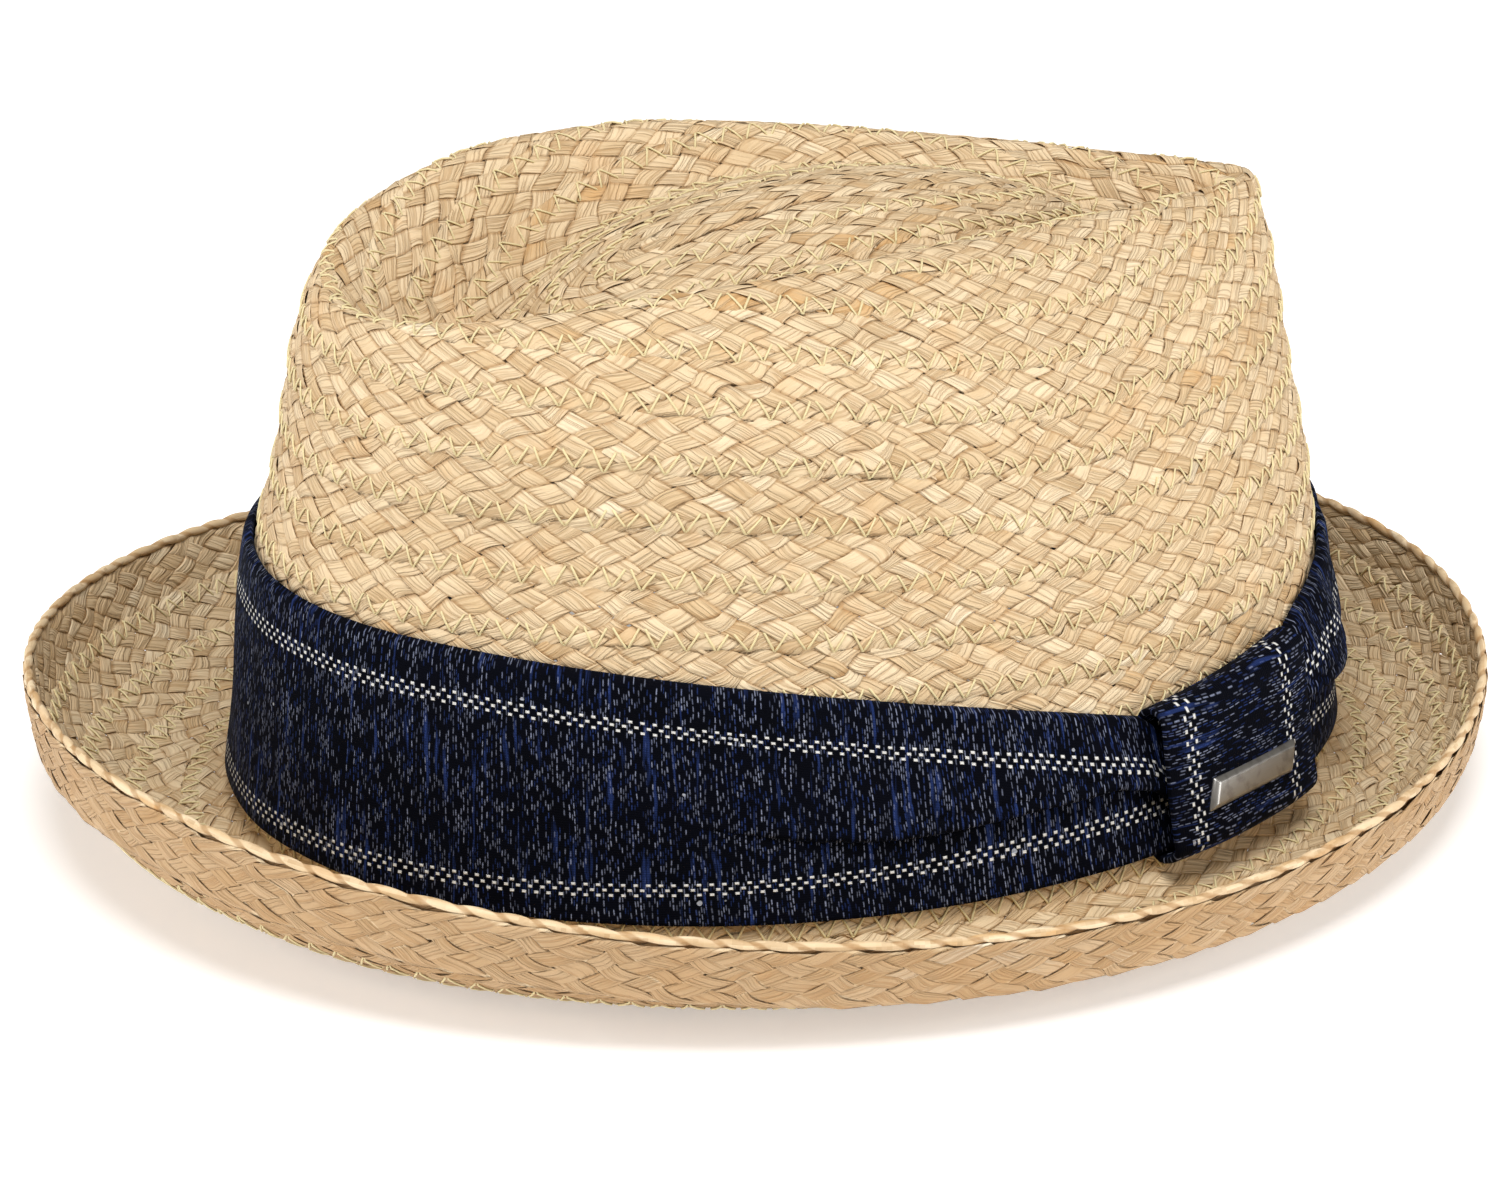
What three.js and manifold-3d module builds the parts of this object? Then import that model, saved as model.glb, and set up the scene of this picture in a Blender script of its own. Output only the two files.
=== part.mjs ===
// A sewn raffia-plait hat with a teardrop crown and a brim turned up all round.
// Millimetres, +Z up. The front of the hat is -Y and the wearer's left is +X. The origin lies on the
// surface that the hat stands on, under the centre of the brim.
import * as THREE from 'three';
import Module from 'manifold-3d';
import { mergeVertices } from 'three/addons/utils/BufferGeometryUtils.js';

const wasm = await Module();
wasm.setup();

// ---- Driving dimensions ----
const GAP = 0.3; // clearance between pieces that touch
const ROW_GAP = 1.1; // between the edges of two rows of plait
const PLAIT_THICKNESS = 2.2; // sewn plait, through both of its lapped edges
const EDGE_THICKNESS = 1.3; // the same, where the outermost row is pressed at the brim's edge
const LAP_STEP = 0.9; // how far a row's lower edge stands proud of the next row
const CROWN_ROWS = 17; // rows of plait from the tip to the foot of the crown
const TIP_ROWS = 7; // of those, the rows that lie on the tip
const BRIM_ROWS = 5;
const STEPS = 48; // facets round a row
const EDGE_PLY_THICKNESS = 1.3; // outer ply that doubles the edge of the brim
const EDGE_PLY_WIDTH = 12.5;

const BAND_THICKNESS = 1.2; // pleated linen band
const BAND_STANDOFF = 0.4;
const BAND_LIFT = 0.9; // extra room behind the band for the keeper's inner ply
const BAND_FOOT_Z = 9.5;
const BAND_TOP_Z = 56.5;
const BAND_DIP = 21.5; // the band is gathered this much lower at the keeper
// Round the hat in degrees from the front: where the band's top starts to dip, over how much it goes down
// and how sharply, and where and over how much it rises again behind the keeper.
const DIP = { from: 25, down: 83, ease: 1.9, rise: 110, up: 105 };
const LIFTED = { full: 18, none: 40 }; // degrees from the keeper's middle, where BAND_LIFT holds and ends

const KEEPER = { from: 106, to: 131, plySlack: 2.2, ply: 1.2, lining: 0.6, room: 1.2, steps: 8 };

const BADGE = { length: 25, height: 5.6, thickness: 1.8, slant: 2.4, bevel: 0.6,
  angle: 120.5, z: 15.5, tilt: -1 };
const LEG = { width: 2, thickness: 0.4, apart: 13, foot: 3 };
const BACKING = { length: 18, height: 4.2, thickness: 0.4, back: 0.8 };

const LINING_DEPTH = PLAIT_THICKNESS + LAP_STEP + GAP; // under the hat's surface
const SWEATBAND_FOOT_Z = 9;
const SWEATBAND_HEIGHT = 32;
const SWEATBAND_THICKNESS = 1.1;
const BINDING_SIZE = 2;
const BOW = { width: 20, height: 8, waist: 3, thickness: 1.2, z: 22, clear: 1 };
const LABEL = { width: 24, height: 18, thickness: 0.8, angle: 158, z: 24, clear: 1.8 };

// The hat's outer surface passes through these rings, from the ridge of the tip out to the brim's edge.
// front and back are where a ring crosses the centre line, width is its half width, taper draws its back
// to a point, nose slims its front corners, z is its height at the front, the sides and the back, and crest
// brings its highest place forward.
const RINGS = [
  { name: 'ridge', front: -21.5, back: 46, width: 0, taper: 0, nose: 0, z: [111, 115, 110] },
  { name: 'island', front: -39, back: 60, width: 18, taper: 0.2, nose: 0, z: [101, 111.5, 105.5] },
  { name: 'groove', front: -60, back: 83, width: 30, taper: 0.5, nose: 0.25, z: [88, 107, 93] },
  { name: 'rim', front: -84, back: 103, width: 41.5, taper: 0.6, nose: 0.2, z: [106.5, 115, 103.5],
    crest: 6 },
  { name: 'shoulder', front: -88, back: 105.7, width: 61, taper: 0.4, nose: 0.2, z: [97, 98, 94] },
  { name: 'wall', front: -93, back: 107.2, width: 70.5, taper: 0.15, nose: 0.1, z: [71, 74, 72] },
  { name: 'band top', front: -97, back: 109, width: 77, taper: 0.03, nose: 0, z: [53, 53, 53] },
  { name: 'foot', front: -100, back: 110.5, width: 86.5, taper: 0, nose: 0, z: [14, 14, 14] },
  { name: 'break', front: -101.5, back: 112, width: 89.5, taper: 0, nose: 0, z: [6.2, 6.2, 6.2] },
  { name: 'brim', front: -106.5, back: 116, width: 95, taper: 0, nose: 0, z: [4, 3.6, 3.8] },
  { name: 'bowl', front: -116.7, back: 123.3, width: 104.5, taper: 0, nose: 0, z: [4, 3, 3.2] },
  { name: 'curl', front: -131, back: 133, width: 117, taper: 0, nose: 0, z: [15, 8.5, 10] },
  { name: 'edge', front: -137, back: 137, width: 123.5, taper: 0, nose: 0, z: [32, 19.5, 23.5] },
];
const BREAK = RINGS.findIndex((ring) => ring.name === 'break');
const SAMPLES = 24; // along the surface, between two rings

const materials = {
  straw: { color: 0xe2c391, roughness: 0.75, metalness: 0 },
  linen: { color: 0x121a30, roughness: 0.95, metalness: 0 },
  steel: { color: 0xb9babb, roughness: 0.3, metalness: 1 },
  cotton: { color: 0x2b2a2c, roughness: 0.9, metalness: 0 },
  tape: { color: 0x1b1b1e, roughness: 0.8, metalness: 0 },
  label: { color: 0xe9e6de, roughness: 0.7, metalness: 0 },
};

const hat = new THREE.Group();

function add(name, geometry, finish) {
  const mesh = new THREE.Mesh(geometry, new THREE.MeshStandardMaterial(materials[finish]));
  mesh.name = name;
  hat.add(mesh);
  return mesh;
}

// ---- The hat's surface ----
function ringPoint(ring, angle) {
  const c = Math.cos(angle);
  const s = Math.sin(angle);
  const slim = 1 - ring.nose * Math.max(c, 0) ** 2;
  const [zFront, zSide, zBack] = ring.z;
  const tilt = ((zFront - zBack) / 2) * c + (ring.crest ?? 0) * (c - c ** 3);
  const bend = ((zFront + zBack) / 2 - zSide) * c ** 2;
  return new THREE.Vector3(
    ring.width * s * (1 + ring.taper * c) * slim,
    (ring.front + ring.back) / 2 - ((ring.back - ring.front) / 2) * c,
    zSide + tilt + bend,
  );
}

// One profile of the hat at an angle from the front: crown 0 to 1, then brim 1 to 2, by length.
const profiles = new Map();
function profile(angle) {
  const key = Math.round(angle * 1e6);
  if (!profiles.has(key)) {
    const curve = new THREE.CatmullRomCurve3(RINGS.map((ring) => ringPoint(ring, angle)), false, 'centripetal');
    const points = curve.getPoints((RINGS.length - 1) * SAMPLES);
    const lengths = [0];
    for (let i = 1; i < points.length; i += 1) {
      lengths.push(lengths[i - 1] + points[i].distanceTo(points[i - 1]));
    }
    profiles.set(key, { points, lengths, crown: lengths[BREAK * SAMPLES], total: lengths.at(-1) });
  }
  return profiles.get(key);
}

function lengthAt(line, v) {
  return v <= 1 ? v * line.crown : line.crown + (v - 1) * (line.total - line.crown);
}

function onSurface(angle, v) {
  const line = profile(angle);
  const wanted = THREE.MathUtils.clamp(lengthAt(line, v), 0, line.total);
  let i = line.lengths.findIndex((length) => length >= wanted);
  i = Math.max(i, 1);
  const part = (wanted - line.lengths[i - 1]) / (line.lengths[i] - line.lengths[i - 1]);
  return line.points[i - 1].clone().lerp(line.points[i], part);
}

const UP = new THREE.Vector3(0, 0, 1);
const TANGENT_SPAN = 0.2; // radians, wide enough to ease the surface round the point of the crown

// The directions down a profile and round the hat, at a place on the surface.
function tangents(angle, v) {
  const along = onSurface(angle, Math.min(v + 0.01, 2)).sub(onSurface(angle, v - 0.01));
  const round = onSurface(angle + TANGENT_SPAN, v).sub(onSurface(angle - TANGENT_SPAN, v));
  return [along.normalize(), round.normalize()];
}

function outward(angle, v) {
  if (v < 0.02) return UP.clone();
  const [along, round] = tangents(angle, v);
  return along.cross(round).normalize();
}

// A point at a depth under the surface; a negative depth stands outside it.
function under(angle, v, depth) {
  return onSurface(angle, v).addScaledVector(outward(angle, v), -depth);
}

// ---- Solids ----
function solid(points, faces) {
  const geometry = new THREE.BufferGeometry();
  geometry.setAttribute('position', new THREE.Float32BufferAttribute(points.flatMap((p) => p.toArray()), 3));
  geometry.setIndex(faces.flat());
  return geometry;
}

// A closed ring whose section is a polygon, given by its corners at each angle.
function ringSolid(section) {
  const points = [];
  const faces = [];
  const corners = section(0).length;
  for (let i = 0; i < STEPS; i += 1) {
    points.push(...section((i / STEPS) * 2 * Math.PI));
  }
  for (let i = 0; i < STEPS; i += 1) {
    const next = (i + 1) % STEPS;
    for (let j = 0; j < corners; j += 1) {
      const k = (j + 1) % corners;
      const [a, b, c, d] = [i * corners + j, i * corners + k, next * corners + k, next * corners + j];
      // The last side is split the other way, so that the edges of neighbouring rows stay parallel.
      faces.push(...(j < corners - 1 ? [[a, c, b], [a, d, c]] : [[a, d, b], [b, d, c]]));
    }
  }
  return solid(points, faces);
}

// The same between two angles, closed at both ends.
function arcSolid(from, to, steps, section) {
  const points = [];
  const faces = [];
  const corners = section(from).length;
  for (let i = 0; i <= steps; i += 1) {
    points.push(...section(from + ((to - from) * i) / steps));
  }
  for (let i = 0; i < steps; i += 1) {
    for (let j = 0; j < corners; j += 1) {
      const k = (j + 1) % corners;
      const [a, b, c, d] = [i * corners + j, i * corners + k, (i + 1) * corners + k, (i + 1) * corners + j];
      faces.push([a, c, b], [a, d, c]);
    }
  }
  const last = steps * corners;
  for (let j = 1; j < corners - 1; j += 1) {
    faces.push([0, j, j + 1], [last, last + j + 1, last + j]);
  }
  return solid(points, faces);
}

// ---- Plait ----
const ROW = 1 / (CROWN_ROWS + 0.5); // one crown row, as a part of the crown's length
const BRIM_ROW = 1 / BRIM_ROWS;

// Half the gap between two rows, widened where the profiles cross the rows at a slant.
function halfGap(angle, v) {
  const line = profile(angle);
  const length = v <= 1 ? line.crown : line.total - line.crown;
  const [along, round] = tangents(angle, v);
  return ROW_GAP / 2 / length / Math.max(along.cross(round).length(), 0.2);
}

function rowSection(angle, vTop, vFoot, footThickness = PLAIT_THICKNESS) {
  const top = vTop + halfGap(angle, vTop);
  const foot = vFoot - halfGap(angle, vFoot - 0.001);
  return [
    under(angle, foot, 0),
    under(angle, top, LAP_STEP),
    under(angle, top, LAP_STEP + PLAIT_THICKNESS),
    under(angle, foot, footThickness),
  ];
}

function tipCentre() {
  const points = [];
  const faces = [];
  const foot = ROW / 2;
  for (let i = 0; i < STEPS; i += 1) {
    const angle = (i / STEPS) * 2 * Math.PI;
    const edge = foot - halfGap(angle, foot);
    points.push(
      under(angle, 0, 0),
      under(angle, edge, 0),
      under(angle, edge, PLAIT_THICKNESS),
      under(angle, 0, PLAIT_THICKNESS),
    );
  }
  for (let i = 0; i < STEPS; i += 1) {
    const next = (i + 1) % STEPS;
    for (let j = 0; j < 3; j += 1) {
      const [a, b, c, d] = [i * 4 + j, i * 4 + j + 1, next * 4 + j + 1, next * 4 + j];
      faces.push([a, b, c], [a, c, d]);
    }
  }
  return mergeVertices(solid(points, faces), 1e-4);
}

function crownRow(number) {
  return ringSolid((angle) => rowSection(angle, (number - 0.5) * ROW, (number + 0.5) * ROW));
}

// The second row carries the hat: its underside is flat, on the surface that the hat stands on.
function brimRow(number) {
  return ringSolid((angle) => {
    const thickness = number === BRIM_ROWS ? EDGE_THICKNESS : PLAIT_THICKNESS;
    const section = rowSection(angle, 1 + (number - 1) * BRIM_ROW, 1 + number * BRIM_ROW, thickness);
    if (number === 2) {
      section[2].z = 0;
      section[3].z = 0;
    }
    return section;
  });
}

function edgePly() {
  const deep = PLAIT_THICKNESS + LAP_STEP + GAP;
  return ringSolid((angle) => {
    const line = profile(angle);
    const levels = [2, 2 - BRIM_ROW, 2 - EDGE_PLY_WIDTH / (line.total - line.crown)];
    const depths = [EDGE_THICKNESS + GAP, deep, deep];
    return [
      ...levels.map((v, i) => under(angle, v, depths[i])),
      ...levels.map((v, i) => under(angle, v, depths[i] + EDGE_PLY_THICKNESS)).reverse(),
    ];
  });
}

// ---- Band, keeper and badge ----
const degrees = THREE.MathUtils.degToRad;

// Where the crown's profile reaches a height, as a part of the crown's length.
function levelAt(angle, z) {
  const line = profile(angle);
  let i = BREAK * SAMPLES;
  while (line.points[i].z < z) i -= 1;
  const part = (z - line.points[i + 1].z) / (line.points[i].z - line.points[i + 1].z);
  return (line.lengths[i + 1] - part * (line.lengths[i + 1] - line.lengths[i])) / line.crown;
}

function turn(angle) {
  return THREE.MathUtils.euclideanModulo(THREE.MathUtils.radToDeg(angle), 360);
}

function bandTop(angle) {
  const at = turn(angle);
  const down = THREE.MathUtils.clamp((at - DIP.from) / DIP.down, 0, 1) ** DIP.ease;
  const back = THREE.MathUtils.clamp((at - DIP.rise) / DIP.up, 0, 1);
  return BAND_TOP_Z - BAND_DIP * (down - back);
}

function bandLift(angle) {
  const away = Math.abs(turn(angle) - (KEEPER.from + KEEPER.to) / 2);
  return BAND_STANDOFF + BAND_LIFT * (1 - THREE.MathUtils.smoothstep(away, LIFTED.full, LIFTED.none));
}

// A wrap round the crown between two heights, from one distance off the crown to another.
function wrap(angle, foot, top, near, far) {
  const levels = [0, 1, 2, 3].map((i) => levelAt(angle, top + ((foot - top) * i) / 3));
  return [
    ...levels.map((v) => under(angle, v, -near)),
    ...levels.reverse().map((v) => under(angle, v, -far)),
  ];
}

function hatBand() {
  return ringSolid((angle) => {
    const lift = bandLift(angle);
    return wrap(angle, BAND_FOOT_Z, bandTop(angle), lift, lift + BAND_THICKNESS);
  });
}

function keeperBlock(grow, near, far) {
  const [from, to] = [degrees(KEEPER.from - grow), degrees(KEEPER.to + grow)];
  const margin = grow > 0 ? KEEPER.room : KEEPER.room + KEEPER.ply;
  return arcSolid(from, to, KEEPER.steps, (angle) =>
    wrap(angle, BAND_FOOT_Z - margin, bandTop(angle) + margin, near(angle), far(angle)));
}

const bandFace = (angle) => bandLift(angle) + BAND_THICKNESS;
const plyBack = (angle) => bandFace(angle) + KEEPER.plySlack;
const plyFace = (angle) => plyBack(angle) + KEEPER.ply;

function toManifold(geometry) {
  const bare = geometry.clone();
  bare.deleteAttribute('normal');
  bare.deleteAttribute('uv');
  const merged = mergeVertices(bare, 1e-4);
  return new wasm.Manifold(new wasm.Mesh({
    numProp: 3,
    vertProperties: new Float32Array(merged.attributes.position.array),
    triVerts: new Uint32Array(merged.index.array),
  }));
}

function fromManifold(body) {
  const mesh = body.getMesh();
  const geometry = new THREE.BufferGeometry();
  geometry.setAttribute('position', new THREE.Float32BufferAttribute(mesh.vertProperties, 3));
  geometry.setIndex(Array.from(mesh.triVerts));
  return geometry;
}

// The badge's own frame: x along it towards the back of the hat, y up, z away from the keeper.
function badgeFrame() {
  const angle = degrees(BADGE.angle);
  const v = levelAt(angle, BADGE.z);
  const out = outward(angle, v);
  const along = new THREE.Vector3().crossVectors(UP, out).normalize();
  const up = new THREE.Vector3().crossVectors(out, along);
  const place = new THREE.Matrix4().makeBasis(along, up, out);
  place.setPosition(under(angle, v, -plyFace(angle)));
  return place.multiply(new THREE.Matrix4().makeRotationZ(degrees(BADGE.tilt)));
}

function box(width, height, depth, x, y, z) {
  return toManifold(new THREE.BoxGeometry(width, height, depth).translate(x, y, z));
}

const LEG_DEPTH = KEEPER.ply + BACKING.back + BACKING.thickness + LEG.thickness + GAP;

function badgePlate() {
  const [l, h, slant] = [BADGE.length / 2, BADGE.height / 2, BADGE.slant / 2];
  const outline = new THREE.Shape([
    new THREE.Vector2(-l - slant, -h),
    new THREE.Vector2(l - slant, -h),
    new THREE.Vector2(l + slant, h),
    new THREE.Vector2(-l + slant, h),
  ]);
  const { bevel } = BADGE;
  const bar = new THREE.ExtrudeGeometry(outline, {
    depth: BADGE.thickness - 2 * bevel,
    bevelThickness: bevel,
    bevelSize: bevel,
    bevelOffset: -bevel,
    bevelSegments: 2,
  });
  bar.translate(0, 0, bevel + GAP);
  let plate = toManifold(bar);
  for (const side of [-1, 1]) {
    const reach = LEG_DEPTH + 2 * GAP; // from inside the bar to the bent foot
    plate = plate
      .add(box(LEG.thickness, LEG.width, reach, (side * LEG.apart) / 2, 0, GAP * 2 - reach / 2))
      .add(box(LEG.foot, LEG.width, LEG.thickness, side * (LEG.apart - LEG.foot + LEG.thickness) / 2, 0,
        GAP * 2 - reach + LEG.thickness / 2));
  }
  return fromManifold(plate).applyMatrix4(badgeFrame());
}

function legSlots(depth, z) {
  const [width, height] = [LEG.thickness + 2 * GAP, LEG.width + 2 * GAP];
  return [-1, 1].map((side) => new THREE.BoxGeometry(width, height, depth)
    .translate((side * LEG.apart) / 2, 0, z));
}

function badgeBacking() {
  const z = -KEEPER.ply - BACKING.back - BACKING.thickness / 2;
  let plate = box(BACKING.length, BACKING.height, BACKING.thickness, 0, 0, z);
  for (const slot of legSlots(BACKING.thickness * 4, z)) {
    plate = plate.subtract(toManifold(slot));
  }
  return fromManifold(plate).applyMatrix4(badgeFrame());
}

function keeperLoop() {
  const lining = (angle) => bandLift(angle) - GAP;
  const sleeve = keeperBlock(0, (angle) => lining(angle) - KEEPER.lining, plyFace);
  let loop = toManifold(sleeve).subtract(toManifold(keeperBlock(1, lining, plyBack)));
  for (const slot of legSlots(KEEPER.ply * 4, 0)) {
    loop = loop.subtract(toManifold(slot.applyMatrix4(badgeFrame())));
  }
  return fromManifold(loop);
}

// ---- Inside the crown ----
function sweatband() {
  const inner = LINING_DEPTH + SWEATBAND_THICKNESS;
  return ringSolid((angle) =>
    wrap(angle, SWEATBAND_FOOT_Z, SWEATBAND_FOOT_Z + SWEATBAND_HEIGHT, -inner, -LINING_DEPTH));
}

function sweatbandBinding() {
  return ringSolid((angle) => wrap(angle, SWEATBAND_FOOT_Z - GAP - BINDING_SIZE,
    SWEATBAND_FOOT_Z - GAP, -LINING_DEPTH - BINDING_SIZE, -LINING_DEPTH));
}

// A frame on the sweatband's inner face: x round the hat, y up, z towards the head.
function insideFrame(angle, z, clear) {
  const v = levelAt(angle, z);
  const inward = outward(angle, v).negate();
  const along = new THREE.Vector3().crossVectors(UP, inward).normalize();
  const place = new THREE.Matrix4().makeBasis(along, new THREE.Vector3().crossVectors(inward, along), inward);
  return place.setPosition(under(angle, v, LINING_DEPTH + SWEATBAND_THICKNESS + clear));
}

function sweatbandBow() {
  const [w, h, waist] = [BOW.width / 2, BOW.height / 2, BOW.waist / 2];
  const outline = new THREE.Shape([[-w, -h], [0, -waist], [w, -h], [w, h], [0, waist], [-w, h]]
    .map(([x, y]) => new THREE.Vector2(x, y)));
  const bow = new THREE.ExtrudeGeometry(outline, { depth: BOW.thickness, bevelEnabled: false });
  return bow.applyMatrix4(insideFrame(Math.PI, BOW.z, BOW.clear));
}

function sizeLabel() {
  const label = new THREE.BoxGeometry(LABEL.width, LABEL.height, LABEL.thickness);
  label.translate(0, 0, LABEL.thickness / 2);
  return label.applyMatrix4(insideFrame(degrees(LABEL.angle), LABEL.z, LABEL.clear));
}

add('tip_centre', tipCentre(), 'straw');
for (let row = 1; row <= CROWN_ROWS; row += 1) {
  const place = row <= TIP_ROWS ? `tip_row_${row}` : `wall_row_${row - TIP_ROWS}`;
  add(place, crownRow(row), 'straw');
}
for (let row = 1; row <= BRIM_ROWS; row += 1) {
  add(`brim_row_${row}`, brimRow(row), 'straw');
}
add('brim_edge_ply', edgePly(), 'straw');
add('hat_band', hatBand(), 'linen');
add('keeper_loop', keeperLoop(), 'linen');
add('badge_plate', badgePlate(), 'steel');
add('badge_backing', badgeBacking(), 'steel');
add('sweatband', sweatband(), 'cotton');
add('sweatband_binding', sweatbandBinding(), 'tape');
add('sweatband_bow', sweatbandBow(), 'tape');
add('size_label', sizeLabel(), 'label');

export default hat;
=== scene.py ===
"""Finishes a sewn raffia fedora: woven plait, zigzag seams, pleated linen band, keeper, badge and lining."""

import math

import bpy
import numpy as np
from bpy.props import FloatProperty, FloatVectorProperty, IntProperty, PointerProperty
from mathutils import Matrix, Vector


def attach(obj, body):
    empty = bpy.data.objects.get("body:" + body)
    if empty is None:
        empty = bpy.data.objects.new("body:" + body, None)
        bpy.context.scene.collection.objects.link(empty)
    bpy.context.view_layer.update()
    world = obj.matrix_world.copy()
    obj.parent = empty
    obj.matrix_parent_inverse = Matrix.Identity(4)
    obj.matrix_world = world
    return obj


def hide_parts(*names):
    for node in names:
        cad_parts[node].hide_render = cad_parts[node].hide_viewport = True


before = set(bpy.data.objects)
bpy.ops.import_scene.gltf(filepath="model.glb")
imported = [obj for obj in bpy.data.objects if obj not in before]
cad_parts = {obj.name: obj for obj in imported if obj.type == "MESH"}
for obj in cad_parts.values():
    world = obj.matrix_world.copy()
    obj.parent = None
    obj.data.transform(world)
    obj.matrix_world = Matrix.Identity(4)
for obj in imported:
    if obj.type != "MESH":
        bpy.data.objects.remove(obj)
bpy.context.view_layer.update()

bl_info = {
    "name": "Raffia Fedora",
    "version": (1, 0, 0),
    "blender": (4, 5, 0),
    "location": "3D View > Sidebar > Fedora",
    "description": "Weaves, sews and trims a raffia fedora round its packed frame",
    "category": "Object",
}

BODY = "root"
MM = 0.001

# The hat's outer face passes through these rings, from the ridge of the tip to the brim's edge, in
# millimetres: where a ring crosses the centre line in front and behind, its half width, how much its back
# is drawn to a point, how much its front corners are slimmed, its height at the front, the sides and the
# back, and how far its crest leans forward.
RINGS = (
    ("ridge", -21.5, 46, 0, 0, 0, (111, 115, 110), 0),
    ("island", -39, 60, 18, 0.2, 0, (101, 111.5, 105.5), 0),
    ("groove", -60, 83, 30, 0.5, 0.25, (88, 107, 93), 0),
    ("rim", -84, 103, 41.5, 0.6, 0.2, (106.5, 115, 103.5), 6),
    ("shoulder", -88, 105.7, 61, 0.4, 0.2, (97, 98, 94), 0),
    ("wall", -93, 107.2, 70.5, 0.15, 0.1, (71, 74, 72), 0),
    ("band top", -97, 109, 77, 0.03, 0, (53, 53, 53), 0),
    ("foot", -100, 110.5, 86.5, 0, 0, (14, 14, 14), 0),
    ("break", -101.5, 112, 89.5, 0, 0, (6.2, 6.2, 6.2), 0),
    ("brim", -106.5, 116, 95, 0, 0, (4, 3.6, 3.8), 0),
    ("bowl", -116.7, 123.3, 104.5, 0, 0, (4, 3, 3.2), 0),
    ("curl", -131, 133, 117, 0, 0, (15, 8.5, 10), 0),
    ("edge", -137, 137, 123.5, 0, 0, (32, 19.5, 23.5), 0),
)
BREAK = 8  # the ring where the crown ends and the brim begins
SAMPLES = 24  # along the surface, between two rings
CROWN_ROWS = 17.5  # from the ridge to the break
BRIM_ROWS = 5
ALL_ROWS = CROWN_ROWS + BRIM_ROWS
TIP_ROWS = 7
ANGLES = 720
ROW_STEP = 0.05

ENDS = 7  # strands in the plait
LAP = 1.4  # width of the plait, as a part of the distance between two rows
SUB = 4  # sections between two crossings


def smooth(low, high, value):
    """0 below low, 1 above high and an S curve between them."""
    t = np.clip((value - low) / (high - low), 0, 1)
    return t * t * (3 - 2 * t)


# ---- The hat's surface ----
def ring_points(ring, angle):
    """The points of one ring at some angles from the front, towards the wearer's left."""
    _, front, back, width, taper, nose, (z_front, z_side, z_back), crest = ring
    c, s = np.cos(angle), np.sin(angle)
    x = width * s * (1 + taper * c) * (1 - nose * np.maximum(c, 0) ** 2)
    y = (front + back) / 2 - (back - front) / 2 * c
    z = z_side + (z_front - z_back) / 2 * c + crest * (c - c**3)
    return np.stack([x, y, z + ((z_front + z_back) / 2 - z_side) * c**2], axis=-1)


def spline(points):
    """Centripetal curves through (angles, rings, 3) points, with SAMPLES steps between two rings."""
    first = 2 * points[:, :1] - points[:, 1:2]
    last = 2 * points[:, -1:] - points[:, -2:-1]
    knots = np.concatenate([first, points, last], axis=1)
    t = (np.arange(SAMPLES) / SAMPLES)[None, :, None]
    spans = []
    for i in range(points.shape[1] - 1):
        a, b, c, d = (knots[:, i + k, None] for k in range(4))
        ab, bc, cd = (np.linalg.norm(q - p, axis=-1, keepdims=True) ** 0.5 for p, q in ((a, b), (b, c), (c, d)))
        start = ((b - a) / ab - (c - a) / (ab + bc) + (c - b) / bc) * bc
        end = ((c - b) / bc - (d - b) / (bc + cd) + (d - c) / cd) * bc
        spans.append(b + start * t + (3 * (c - b) - 2 * start - end) * t**2 + (2 * (b - c) + start + end) * t**3)
    return np.concatenate([*spans, points[:, -1:]], axis=1)


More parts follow.
